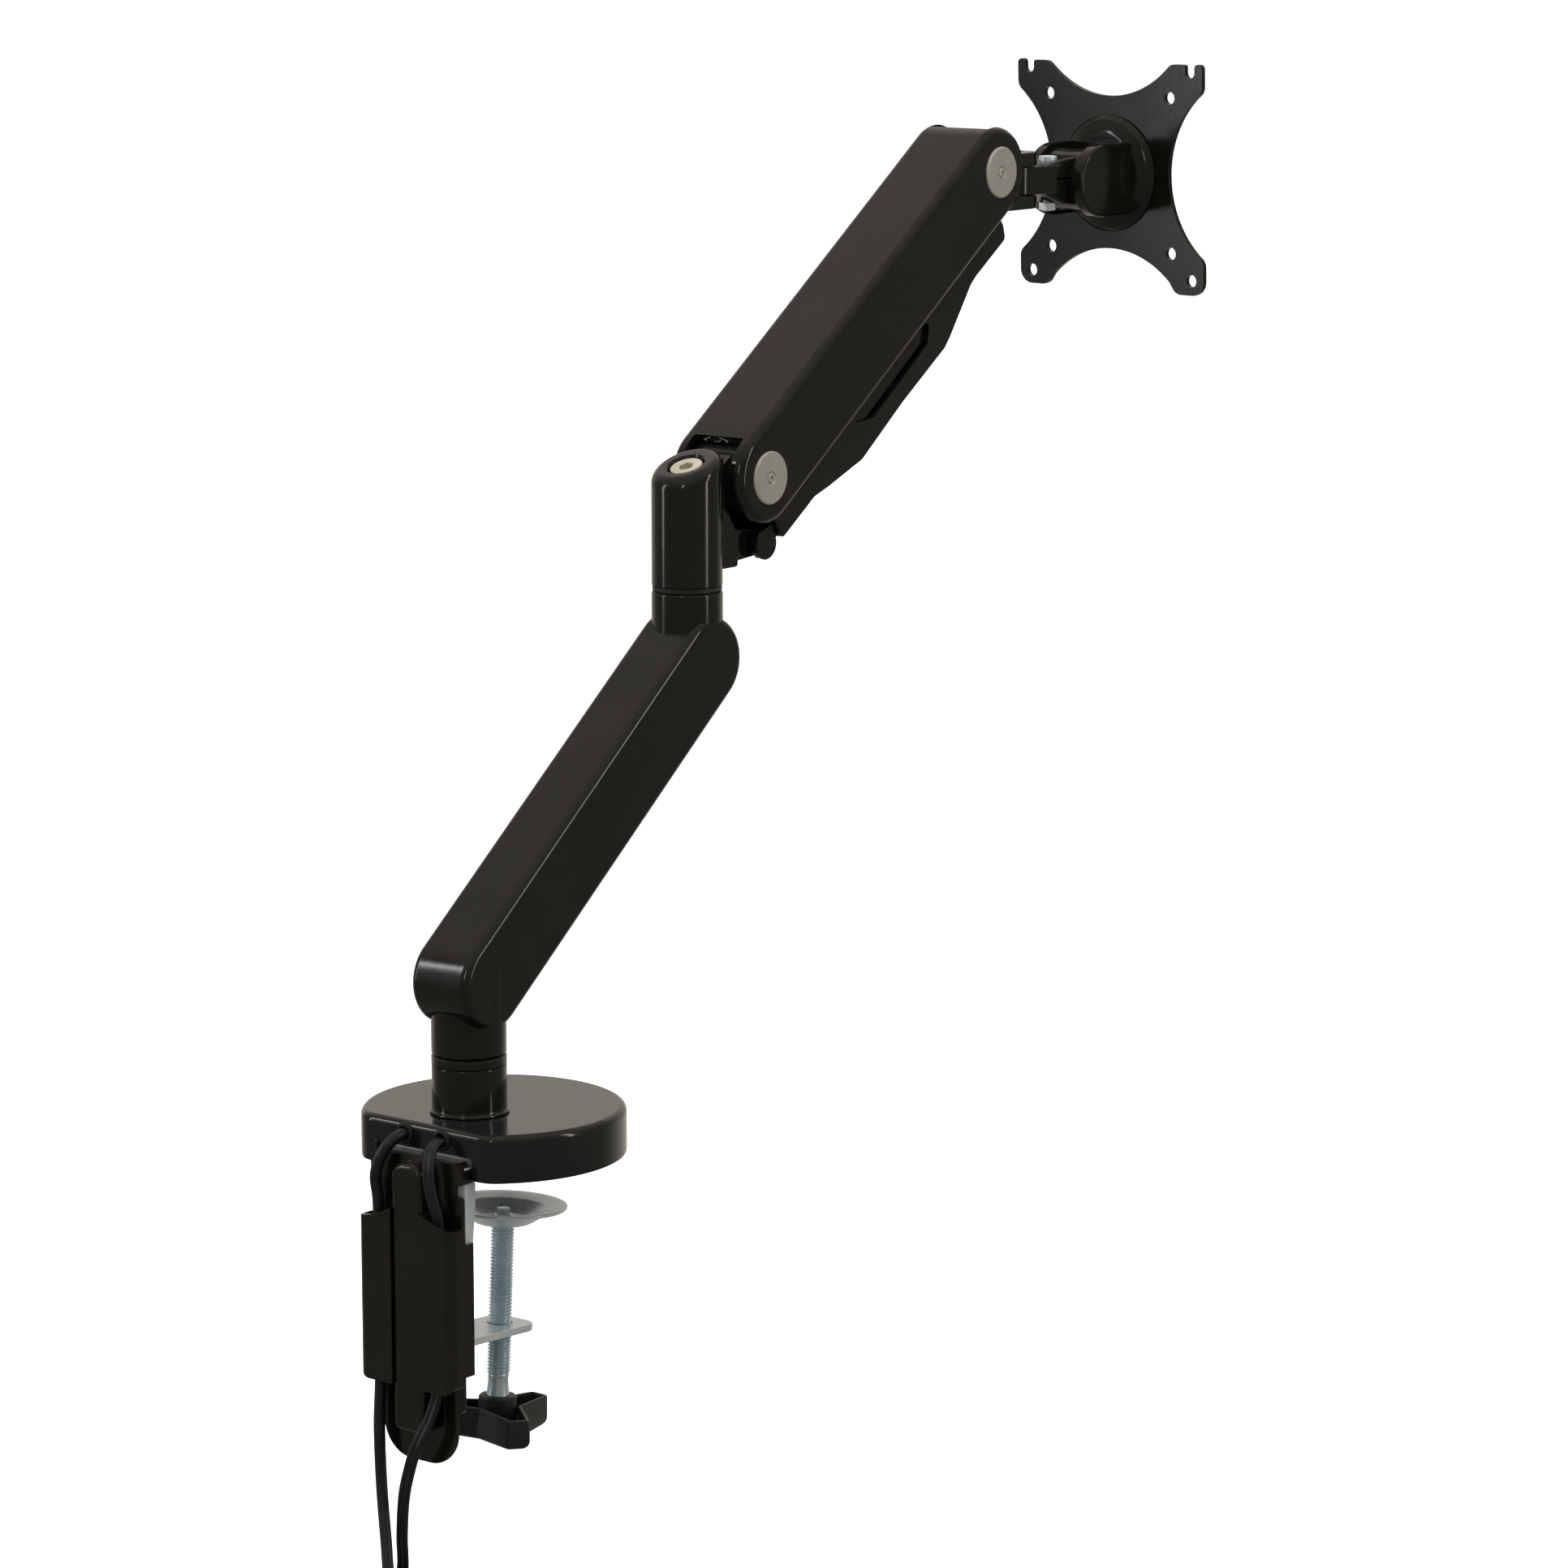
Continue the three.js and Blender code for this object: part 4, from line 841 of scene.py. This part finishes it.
def knob():
    outer = [(24.6, 3.0, 10.6, -50.6), (26.4, 3.9, 11.9, -50.2), (27.8, 4.9, 13.0, -49.1),
             (28.5, 5.4, 13.2, -47.4)]
    outer += [(28.8, 5.2, 12.4, -43.5), (28.95, 4.9, 11.0, -38.2), (28.8, 4.7, 10.6, -37.2),
              (28.4, 4.3, 10.2, -37)]
    inner = [(27.8, 3.7, 9.4, -37), (27.5, 3.4, 9.0, -37.3), (27.3, 3.2, 8.9, -38.4), (27.1, 3.3, 10.4, -44)]
    inner += [(26.8, 3.3, 11.0, -46.6), (25.6, 2.6, 10.4, -47.3)]
    rings = [lobes(a, b, c, min(2.2, b * 0.55), 2.4, z) for a, b, c, z in outer + inner]
    cup = loft(rings, LEAN)
    profile = [(0, -48.5), (9.4, -48.5), (8.6, -45), (8.4, -33.2), (7.6, -32.3), (5.5, -32.3), (5.5, -36),
               (0, -36)]
    hub = lathe("z", soft(profile, [0, 0, 1.5, 0.6, 0.5, 0.2, 0, 0]), group=LEAN, steps=64)
    return join(cup, hub)


def pressure_disc():
    profile = [(3.6, 44.5), (11.8, 44.5), (14.4, 45.9), (19.8, 49.7), (25.4, 51.1), (28, 51.5), (28, 53),
               (25.4, 52.8), (19.2, 51.2), (13.4, 47.3), (11.2, 46.1), (3.6, 46.1), (3.6, 44.5)]
    radii = [0.2, 3, 3, 6, 6, 0.7, 0.6, 3, 5, 4, 3, 0.2, 0.2]
    return lathe("z", soft(profile, radii, 5), group=LEAN, steps=128)


def disc_stud():
    """Push-on star nut with the end of the screw's rivet standing out of it."""
    pin = lathe("z", soft([(0, 46.6), (2.9, 46.6), (2.9, 51), (0, 51)], [0, 0, 0.5, 0]), group=LEAN, steps=48)
    rings = []
    for r, z in ((5.0, 46.35), (5.5, 46.7), (5.5, 47.3), (4.4, 48.1), (3.2, 48.3)):
        ring = []
        for i in range(96):
            a = TAU * i / 96
            k = r + 0.35 * math.cos(8 * a) * (r / 5.5)
            ring.append((k * math.cos(a), k * math.sin(a), z))
        rings.append(ring)
    return join(pin, loft(rings, LEAN))


def hex_bolt(side):
    at = (side * 14, 8, 0)
    shank = lathe("z", [(0, 2.6), (2.4, 2.6), (2.9, 3.1), (2.9, 10.6), (0, 10.6)], at, steps=40)
    head = lathe("z", soft([(0, 10.4), (5.4, 10.4), (5.4, 13.9), (0, 13.9)], 0.6), at, steps=6)
    return join(head, shank)


add_piece(bracket(), "bracket", "root", ZINC, ["clamp_bracket"])
add_piece(threaded_screw(), "screw", "clamp_handle", THREAD, ["clamp_screw"], sharp=28,
          weighted=False)
add_piece(knob(), "knob", "clamp_handle", MATT, ["clamp_knob"])
add_piece(pressure_disc(), "disc", "pressure_pad", ZINC, ["pressure_disc"])
add_piece(disc_stud(), "stud", "pressure_pad", ZINC, ["disc_stud"])
for side, hand in ((-1, "left"), (1, "right")):
    add_piece(hex_bolt(side), "bolt_" + hand, "root", ZINC, ["bracket_bolt_" + hand], sharp=20)


def spine():
    plate = bevel(prism("y", fillet([(-25, -101), (25, -101), (25, -6), (-25, -6)], 2), -34.5, -32.4), 0.4, 2)
    outline = fillet([(-20.8, -126.6), (20.8, -126.6), (20.8, -95), (-20.8, -95)], [17, 17, 0, 0], 16)
    apron = bevel(prism("y", outline, -34.5, -32.4), 0.5, 2)
    crown = [(-21, -8), (21, -8), (21, -0.5), (25.8, -0.5), (25.8, 5.3), (21.8, 8.2), (-21.8, 8.2),
             (-25.8, 5.3)]
    crown = fillet([*crown, (-25.8, -0.5), (-21, -0.5)], [0, 0, 0, 0.6, 2, 3, 3, 2, 0.6, 0])
    hood = cut(prism("y", crown, -35.2, -28.1), block((-25.2, -32.2, -10), (25.2, -20, 6.35)))
    bevel(hood, 0.5, 3, 50)
    ridge = fillet([(-8.6, -112), (8.6, -112), (8.6, 6.5), (-8.6, 6.5)], [3, 3, 6.5, 6.5], 12)
    column = bevel(prism("y", ridge, -42.2, -33), 2.4, 6)
    tabs = []
    for side in (-1, 1):
        for foot, head in ((-25, -12), (-98.5, -86)):
            low, high = sorted((side * 25.2, side * 27))
            flap = fillet([(-34.5, foot), (-28.7, foot), (-28.7, head), (-34.5, head)],
                          [0.3, 1.2, 2.2, 0.3], 6)
            tabs.append(bevel(prism("x", flap, low, high), 0.4, 2, 50))
            low, high = sorted((side * 26, side * 24))
            tabs.append(block((low, -34.4, foot + 0.4), (high, -32.5, head - 0.4)))
    return join(plate, apron, hood, column, *tabs)


def clip(side):
    """C-shaped channel, cut to a sloping top by its back view."""
    front = [(7.8, -43.6), (26.8, -43.6), (26.8, -28.9), (25.3, -28.9), (25.3, -42.1)]
    back = [(10.6, -42.1), (10.6, -35), (9.1, -35), (9.1, -42.4), (7.8, -42.6)]
    plan = fillet(front + back, [0.4, 4.2, 0.3, 0.3, 2.8, 0.3, 0.3, 0.3, 0.2, 0.3], 10)
    channel = prism("z", plan, -95, -5)
    face = [(7, -91.5), (26.9, -91.5), (26.9, -19.6), (20, -18.5), (13.5, -16.4), (7, -13)]
    face = fillet(face, [1, 6, 1, 8, 6, 1], 12)
    view = prism("y", face, -50, -20)
    combine(channel, "INTERSECT", [view])
    cut(channel, block((24, -34.9, -26.4), (30, -20, 0)), block((24, -34.9, -100), (30, -20, -84.6)))
    bevel(channel, 0.35, 3, 40)
    if side < 0:
        channel.data.transform(Matrix.Scale(-1, 4, (1, 0, 0)))
        channel.data.flip_normals()
    return channel


add_piece(spine(), "spine", "root", SPINE, ["cable_spine"])
for side, hand in ((-1, "left"), (1, "right")):
    add_piece(clip(side), "clip_" + hand, "root", SPINE, ["clip_cover_" + hand])

# ---- lower arm and elbow -----------------------------------------------------------------------


def lower_bar():
    bar = bevel(prism("x", stadium((0, 79), (150.8, 199.5), 20, steps=56), -16, 16), 3.8, 8)
    low = soft([(0, 47.6), (16.25, 47.6), (16.25, 84), (0, 84)], [0, 0.8, 0, 0])
    top = soft([(0, 195), (16, 195), (16, 230.2), (0, 230.2)], [0, 0, 0.9, 0])
    body = join(bar, lathe("z", low, steps=128), lathe("z", top, (0, 150.8, 0), steps=128))
    return cut(body, rod("z", 10.3, 40, 72.4, steps=96), rod("z", 10.3, 204.7, 240, (0, 150.8, 0), steps=96))


add_piece(lower_bar(), "lower_bar", "lower_link", ENAMEL, ["lower_arm"])
ring = soft([(10.3, 230.5), (15.3, 230.5), (15.6, 230.8), (15.6, 232.6), (15.3, 232.9), (10.3, 232.9),
             (10.3, 230.5)], 0.2)
add_piece(lathe("z", ring, (0, 150.8, 0), steps=128), "elbow_ring", "lower_link", MATT,
          ["elbow_washer"])

LINK_LOW = (184.7 + 4.6, 278.9 - 30.5)


def elbow_body():
    barrel = rod("z", 15.9, 215, 310, (0, 150.8, 0), steps=128)
    cut(barrel, block((-40, -60, 0), (40, 60, 60), SEAT))
    bevel(barrel, 4.6, 8, 50)
    cut(barrel, block((-30, 100, 200), (30, 200, 233.2)))
    lug = fillet([(150, 239.4), (172.6, 239.4), (173.6, 252.5), (170.5, 257.2), (163.6, 268.6),
                  (162.4, 290.4), (150, 286)], [0, 1.5, 2, 6, 8, 1.5, 0], 8)
    lug = bevel(prism("x", lug, -12, 12), 1.0, 4, 40)
    web = fillet([(155, 262), (163.6, 262), (176, 262.5), (187, 262.8), (201.2, 278.9), (184.7, 295.4),
                  (172.4, 290), (162.5, 284), (155, 284)], 1)
    web = prism("x", web, -9, 9)
    eye = lathe("x", soft([(0, -13.2), (16.4, -13.2), (16.4, 13.2), (0, 13.2)], 0.8), (0, 184.7, 278.9),
                steps=96)
    link_eye = bevel(prism("x", stadium((168, 249), LINK_LOW, 8, 5.8), -9.5, 9.5), 0.7, 3)
    body = join(barrel, lug, web, eye, link_eye)
    recess = soft([(0, -7.2), (8.2, -7.2), (8.2, -0.9), (9.2, 0.05), (9.2, 4), (0, 4)],
                  [0, 0.4, 0.8, 0, 0, 0])
    tools = [lathe("z", recess, (0, -1, 0), SEAT, 96), block((-6.2, 182, 256), (6.2, 220, 300))]
    tools.append(rod("x", 4.9, -30, 30, (0, 184.7, 278.9)))
    tools.append(rod("x", 3.4, -30, 30, (0, *LINK_LOW)))
    tools.append(rod("z", 10.3, 220, 262.4, (0, 150.8, 0), steps=96))
    return cut(body, *tools)


def socket_bolt(r, low, high, key, depth, group, at, axis="z", dome=0.7):
    """Socket-head bolt seen from its head: chamfered rim and a hexagon recess."""
    profile = soft([(0, low), (r, low), (r, high), (0, high)], [0, 0.3, dome, 0])
    head = lathe(axis, profile, at, group, 80)
    hexagon = lathe(axis, [(0, high - depth), (key, high - depth), (key, high + 2), (0, high + 2)], at,
                    group, 6)
    flare = lathe(axis, [(0, high - 0.45), (key * 0.9, high - 0.45), (key * 1.12, high + 0.02),
                         (key * 1.12, high + 2), (0, high + 2)], at, group, 48)
    return cut(head, hexagon, flare)


add_piece(elbow_body(), "elbow_body", "elbow", ENAMEL, ["elbow_knuckle"])
bolt = socket_bolt(7.5, -6.7, -0.8, 3.6, 4.2, SEAT, (0, -1, 0))
add_piece(bolt, "elbow_bolt", "elbow", BRASS, ["elbow_top_bolt"])

# ---- upper arm ---------------------------------------------------------------------------------


def arm_channel():
    body = bevel(prism("x", stadium((0, 0), (ARM_L, 0), ARM_R, steps=56), -20.5, 20.5), 4.2, 9)
    tools = [
        block((-16.8, -40, -40), (16.8, 260, 17.5), LIFT),
        bevel(block((-14.1, -40, 5), (14.1, 2, 40), LIFT), 1.2, 3),
        block((-16.8, ARM_L + 7.5, 0), (16.8, 260, 40), LIFT),
    ]
    body.data.transform(LIFT)
    for s in (0, ARM_L):
        tools.append(rod("x", 4.9, -30, 30, (0, s, 0), LIFT))
        for side in (-1, 1):
            low, high = sorted((side * 19.6, side * 30))
            tools.append(rod("x", 12.35, low, high, (0, s, 0), LIFT, 96))
    return cut(body, *tools)


def cap(side, s):
    """Satin cap with a polished chamfer and a seat for its centre screw."""
    edge = [(0, 19.9), (12, 19.9), (12, 20.9), (11.35, 21.45), (3.1, 21.45), (2.5, 20.9), (2.5, 20.4),
            (0, 20.4)]
    profile = [(r, side * h) for r, h in soft(edge, [0, 0.05, 0.15, 0.15, 0.15, 0.1, 0.05, 0], 3)]
    return lathe("x", profile, (0, s, 0), LIFT, 96)


def cap_screw(side, s):
    at = (0, s, 0)
    head = lathe("x", [(r, side * h) for r, h in soft([(0, 20.5), (2.35, 20.5), (2.35, 21.2), (1.9, 21.5),
                                                       (0, 21.5)],
                                                   [0, 0, 0.2, 0.15, 0], 3)], at, LIFT, 48)
    low, high = sorted((side * 20.7, side * 23))
    return cut(head, rod("x", 1.15, low, high, at, LIFT, 6))


add_piece(arm_channel(), "arm_channel", "upper_link", ENAMEL, ["arm_shell"])
for side, hand in ((-1, "left"), (1, "right")):
    for place, s in (("elbow", 0), ("head", ARM_L)):
        add_piece(cap(side, s), f"{place}_disc_{hand}", "upper_link", NICKEL,
                  [f"{place}_cap_{hand}"])
        add_piece(cap_screw(side, s), f"{place}_disc_screw_{hand}", "upper_link", BRASS)


def adjuster_sign():
    """Printed sign on the notch's edge: a nut's outline between two turning arrows."""
    parts = []

    def mark(points):
        parts.append(prism("y", [(x - 3, 18.6 + z) for x, z in points], 1.9, 2.04, LIFT))

    def band(cx, cz, rx, rz, start, stop, wide, steps=16):
        outer = [(cx + rx * math.cos(rad(start + (stop - start) * i / steps)),
                  cz + rz * math.sin(rad(start + (stop - start) * i / steps))) for i in range(steps + 1)]
        inner = [(cx + (rx - wide) * math.cos(rad(start + (stop - start) * i / steps)),
                  cz + (rz - wide) * math.sin(rad(start + (stop - start) * i / steps))) for i in range(steps + 1)]
        return outer + inner[::-1]

    for start in range(0, 360, 60):
        mark(band(0, 0, 2.9, 1.5, start, start + 60.5, 0.4, 1))
    for side in (-1, 1):
        mark([(side * x, z) for x, z in band(0, -1.2, 6.6, 2.9, 20, 66, 0.4)])
        mark([(side * x, z) for x, z in [(7.1, 0.1), (5.3, 0.0), (6.0, -1.3)]])
    return join(*parts)


sign = flexible("sign_print", (0.55, 0.55, 0.53), (0.7, 0.7, 0.68))
add_piece(adjuster_sign(), "adjuster_sign", "upper_link", sign, weighted=False)


def cover():
    foot = [(-4, -33.5), (25, -33.9), (35, -37), (62, -43.9), (101, -42.8), (141, -43.7), (147, -42.2),
            (174, -32.9), (180, -32.3), (208, -33), (210.5, -26.7)]
    outline = fillet(foot + [(210.5, -20), (-4, -20)], [2, 8, 10, 9, 30, 6, 6, 8, 8, 3, 2, 1, 1], 8)
    body = bevel(prism("x", outline, -15.5, 15.5), 1.4, 5, 40)
    body.data.transform(LIFT)
    inner = [(-12, -31.9), (20, -32), (33, -34.8), (62, -42.1), (101, -41), (141, -41.9), (147, -40.4),
             (172, -31.5), (230, -31.5), (230, 0), (-12, 0)]
    inner = prism("x", fillet(inner, [0, 6, 8, 7, 20, 5, 5, 5, 0, 0, 0]), -13.7, 13.7, LIFT)
    window = fillet([(62, -23.5), (79, -33.4), (131, -33), (140, -23.9)], 2.2)
    window = prism("x", window, -30, 30, LIFT)
    return cut(body, inner, block((-13.7, 178, -60), (13.7, 230, 0), LIFT), window)


def link_pin():
    """Pin through the link's lower end; its heads are the lugs seen under the shell."""
    half = [(3.2, 11), (3.2, 13.4), (7.2, 13.5), (7.2, 14.8), (6.6, 15.4), (0, 15.4)]
    profile = [(0, -15.4), *[(r, -h) for r, h in reversed(half[:-1])], *half]
    return lathe("x", profile, (0, *LINK), LIFT, 72)


add_piece(cover(), "under_cover", "parallel_bar", COVER, ["link_cover"])
add_piece(link_pin(), "link_pin_lower", "parallel_bar", ENAMEL, ["link_pin_elbow"])

# ---- front knuckle and head --------------------------------------------------------------------

HEAD_PIVOT = (184.7 + ARM_L * math.cos(rad(35.63)), 278.9 + ARM_L * math.sin(rad(35.63)))
LINK_HIGH = (HEAD_PIVOT[0] + 4.6, HEAD_PIVOT[1] - 30.5)


def front_body():
    barrel = lathe("x", soft([(0, -15.8), (15.5, -15.8), (15.5, 15.8), (0, 15.8)], 0.8), (0, *HEAD_PIVOT),
                   steps=96)
    lug = bevel(prism("x", stadium(HEAD_PIVOT, LINK_HIGH, 9, 6), -10.5, 10.5), 0.7, 3)
    neck = fillet([(352, 386), (389, 385.5), (390.8, 391.8), (390.8, 405.9), (389, 412.5), (366, 416),
                   (352, 412)], 1.5)
    neck = bevel(prism("x", neck, -10.5, 10.5), 1, 4)
    ears = [bevel(prism("z", stadium((0, 384), (0, 401.7), 10.6), low, high), 1.1, 4)
            for low, high in ((405.8, 412.5), (385.5, 391.8))]
    body = join(barrel, lug, neck, *ears)
    tools = [block((-30, 390.9, 391.8), (30, 430, 405.8)), rod("z", 4.2, 370, 430, (0, 401.7, 0))]
    tools += [rod("x", 4.9, -30, 30, (0, *HEAD_PIVOT)), rod("x", 3.3, -30, 30, (0, *LINK_HIGH))]
    return cut(body, *tools)


def pan_body():
    tongue = bevel(prism("z", stadium((0, 0), (0, 22), 9.7), 392.1, 405.5, PAN), 0.7, 3)
    neck = fillet([(12, 392.1), (27, 386), (46, 384), (46, 409.6), (27, 408), (12, 405.5)], 3, 6)
    neck = bevel(prism("x", neck, -8.6, 8.6, PAN), 1.6, 5)
    barrel = lathe("x", soft([(0, -11.5), (15, -11.5), (15, 11.5), (0, 11.5)], 1), (0, 46, 396.8), PAN, 96)
    body = join(tongue, neck, barrel)
    tools = [
        block((-9.8, 19.5, 398.2), (9.8, 31.5, 399.4), PAN),
        rod("z", 2.6, 370, 430, (0, 24.6, 0), PAN),
        rod("z", 4.9, 405.3, 430, (0, 24.6, 0), PAN),
        rod("z", 4.9, 370, 387.5, (0, 24.6, 0), PAN),
        rod("x", 4.9, -30, 30, (0, 46, 396.8), PAN),
        rod("z", 4.2, 370, 430, (0, 0, 0), PAN),
    ]
    return cut(body, *tools)


def tension_bolt():
    head = socket_bolt(4.3, 405.6, 409.3, 1.9, 2.2, PAN, (0, 24.6, 0), dome=0.5)
    shank = rod("z", 2.3, 383, 406, (0, 24.6, 0), PAN, 40)
    return join(head, shank)


def tension_nut():
    hexagon = lathe("z", soft([(0, 383.3), (4.5, 383.3), (4.5, 387.1), (0, 387.1)], 0.4, 3), (0, 24.6, 0),
                    PAN, 6)
    return cut(hexagon, rod("z", 2.6, 370, 400, (0, 24.6, 0), PAN, 40))


def yoke():
    outline = tidy(arc(0, 0, 17.4, 90, 270, 56) + [(22, -17.4), (22, 17.4)])
    cheeks = bevel(prism("x", outline, -18, 18, TILT), 1.7, 6)
    space = join(block((-11.9, -30, -30), (11.9, 10, 30), TILT),
                 rod("x", 17.6, -11.9, 11.9, group=TILT, steps=96))
    profile = soft([(0, 19.6), (21, 19.7), (26.4, 22.3), (28.5, 24.6), (28.5, 25.3), (0, 25.3)],
                   [0, 4, 4, 1, 0.1, 0], 8)
    boss = lathe("y", profile, (0, 0, PLATE_Z), TILT, 128)
    body = join(cut(cheeks, space), boss)
    return cut(body, rod("x", 4.9, -16, 16, group=TILT), rod("y", 3.4, 12, 40, (0, 0, PLATE_Z), TILT))


def plate_outline():
    """Four arms cut by circular waists, with open slots in the two upper ones."""
    points = arc(0, 90.4, 53, 228.8, 311.2, 40)
    points += fillet([(34.9, 50.5), (38.4, 53.7), (47.2, 53.7), (47.2, 50)], [0, 5, 1.4, 0], 8)[1:]
    points += arc(50, 50, 2.8, 180, 360, 16)
    points += fillet([(52.8, 50), (52.8, 54), (57.5, 54), (57.5, 40.7), (53.1, 37.2)], [0, 2.3, 2.3, 6, 0], 8)
    points += arc(86.6, 0, 50, 132, 228, 48)
    points += fillet([(53.1, -37.2), (57.5, -40.7), (57.5, -57.1), (40.4, -57.1), (36.4, -51.3)],
                     [0, 6, 7, 6, 0], 10)
    points += arc(0, -89.8, 53, 46.6, 133.4, 48)
    points += fillet([(-36.4, -51.3), (-40.4, -56.7), (-57.4, -56.7), (-57.4, -40.7), (-53.1, -37.2)],
                     [0, 6, 7, 6, 0], 10)
    points += arc(-86.6, 0, 50, -48, 48, 48)
    points += fillet([(-53.1, 37.2), (-57.3, 40.7), (-57.3, 53.8), (-52.8, 53.8), (-52.8, 50)],
                     [0, 6, 2.2, 2.2, 0], 8)
    points += arc(-50, 50, 2.8, 180, 360, 16)
    points += fillet([(-47.2, 50), (-47.2, 53.4), (-38.4, 53.4), (-34.9, 50.5)], [0, 1.4, 5, 0], 8)
    return tidy([(x, z + PLATE_Z) for x, z in points], 0.05)


def screen_plate():
    sheet = prism("y", plate_outline(), 25.6, 28.1, TILT)
    holes = [(-50, -50), (50, -50), (-37.5, -37.5), (37.5, -37.5), (-37.5, 37.5), (37.5, 37.5)]
    tools = [rod("y", 3.05, 0, 40, (x, 0, z + PLATE_Z), TILT, 40) for x, z in holes]
    cut(sheet, *tools, rod("y", 3.4, 0, 40, (0, 0, PLATE_Z), TILT))
    return bevel(sheet, 0.45, 3, 45)


add_piece(front_body(), "front_body", "front", ENAMEL, ["front_knuckle"])
add_piece(pan_body(), "pan_body", "head_pan", ENAMEL, ["pan_block"])
add_piece(tension_bolt(), "clamp_bolt", "head_pan", ZINC, ["tension_bolt"])
add_piece(tension_nut(), "clamp_nut", "head_pan", ZINC, ["tension_nut"], sharp=20)
add_piece(yoke(), "yoke", "head_tilt", ENAMEL, ["tilt_yoke"])
add_piece(screen_plate(), "screen_plate", "plate", PLATE_PAINT, ["vesa_plate"])
centre = socket_bolt(8.5, 28.4, 30.4, 2.4, 1.5, TILT, (0, 0, PLATE_Z), "y", 1.0)
add_piece(centre, "plate_centre_screw", "plate", ZINC, ["plate_screw"])

# ---- finishes of the CAD nodes that stay -------------------------------------------------------

KEPT = {
    RUBBER: ["base_pad"],
    STEEL: ["base_plate", "base_spindle", "elbow_spindle", "elbow_pin", "head_pin", "spring_rod",
            "link_pin_head", "pan_pin", "tilt_shaft"],
    ENAMEL: ["spring_cylinder", "parallel_link"],
}
for material, names in KEPT.items():
    for name in names:
        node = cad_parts[name]
        node.data.materials.clear()
        node.data.materials.append(material)
        node.data.shade_smooth()
        node.data.set_sharp_from_angle(angle=rad(30))

# ---- floor, light ------------------------------------------------------------------------------


def floor():
    mesh = bpy.data.meshes.new("floor")
    z = cad_box[0][2] - 0.012
    mesh.from_pydata([(-9, -9, z), (9, -9, z), (9, 9, z), (-9, 9, z)], [], [(0, 1, 2, 3)])
    obj = bpy.data.objects.new("floor", mesh)
    bpy.context.scene.collection.objects.link(obj)
    n = Nodes("floor_white")
    n.bsdf.inputs["Base Color"].default_value = (0.8, 0.8, 0.8, 1)
    n.bsdf.inputs["Roughness"].default_value = 0.9
    n.bsdf.inputs["Specular IOR Level"].default_value = 0.1
    n.bsdf.inputs["Emission Color"].default_value = (1, 1, 1, 1)
    n.bsdf.inputs["Emission Strength"].default_value = 1.0
    mesh.materials.append(n.mat)
    obj.visible_glossy = False
    obj.visible_diffuse = False


floor()

world = bpy.data.worlds.new("studio")
bpy.context.scene.world = world
world.use_nodes = True
tree = world.node_tree
tree.nodes.clear()
out = tree.nodes.new("ShaderNodeOutputWorld")
seen = tree.nodes.new("ShaderNodeBackground")
seen.inputs["Color"].default_value = (1, 1, 1, 1)
seen.inputs["Strength"].default_value = 1.1
lit = tree.nodes.new("ShaderNodeBackground")
lit.inputs["Color"].default_value = (1.0, 0.93, 0.82, 1)
toward = tree.nodes.new("ShaderNodeTexCoord")


def glow(direction, start, stop, strength):
    """Light that grows from one side of the room to the other."""
    dot = tree.nodes.new("ShaderNodeVectorMath")
    dot.operation = "DOT_PRODUCT"
    dot.inputs[1].default_value = direction
    tree.links.new(toward.outputs["Generated"], dot.inputs[0])
    span = tree.nodes.new("ShaderNodeMapRange")
    span.interpolation_type = "SMOOTHSTEP"
    span.inputs["From Min"].default_value = start
    span.inputs["From Max"].default_value = stop
    span.inputs["To Min"].default_value = 0
    span.inputs["To Max"].default_value = strength
    tree.links.new(dot.outputs["Value"], span.inputs["Value"])
    return span.outputs["Result"]


def total(a, b):
    node = tree.nodes.new("ShaderNodeMath")
    tree.links.new(a, node.inputs[0])
    tree.links.new(b, node.inputs[1])
    return node.outputs[0]


base_level = tree.nodes.new("ShaderNodeValue")
base_level.outputs[0].default_value = 0.22
level = total(base_level.outputs[0], glow((-0.61, 0.79, 0), 0.3, 1.0, 0.5))
level = total(level, glow((0, 0, 1), 0.25, 1.0, 0.3))
tree.links.new(level, lit.inputs["Strength"])
path_kind = tree.nodes.new("ShaderNodeLightPath")
mix = tree.nodes.new("ShaderNodeMixShader")
tree.links.new(path_kind.outputs["Is Camera Ray"], mix.inputs[0])
tree.links.new(lit.outputs[0], mix.inputs[1])
tree.links.new(seen.outputs[0], mix.inputs[2])
tree.links.new(mix.outputs[0], out.inputs[0])


def softbox(name, position, target, size, watts, colour=(1, 1, 1)):
    light = bpy.data.lights.new(name, "AREA")
    light.shape = "RECTANGLE"
    light.size, light.size_y = size
    light.energy = watts
    light.color = colour
    obj = bpy.data.objects.new(name, light)
    obj.location = position
    obj.rotation_euler = (Vector(target) - Vector(position)).to_track_quat("-Z", "Y").to_euler()
    bpy.context.scene.collection.objects.link(obj)
    obj.visible_camera = False
    return obj


top = softbox("overhead", (0.3, 0.0, 2.1), (0, 0.2, 0.2), (2.0, 2.0), 40)
top.visible_glossy = False
softbox("left_side", (-1.5, -1.4, 0.7), (0, 0.2, 0.2), (0.12, 1.6), 7)
softbox("front", (0.9, -2.4, 1.3), (0, 0.1, 0.0), (0.1, 0.9), 5)
softbox("right_side", (1.9, 0.7, 0.7), (0, 0.3, 0.2), (0.14, 1.6), 7, (1.0, 0.95, 0.88))
bpy.context.scene.view_settings.view_transform = "Standard"
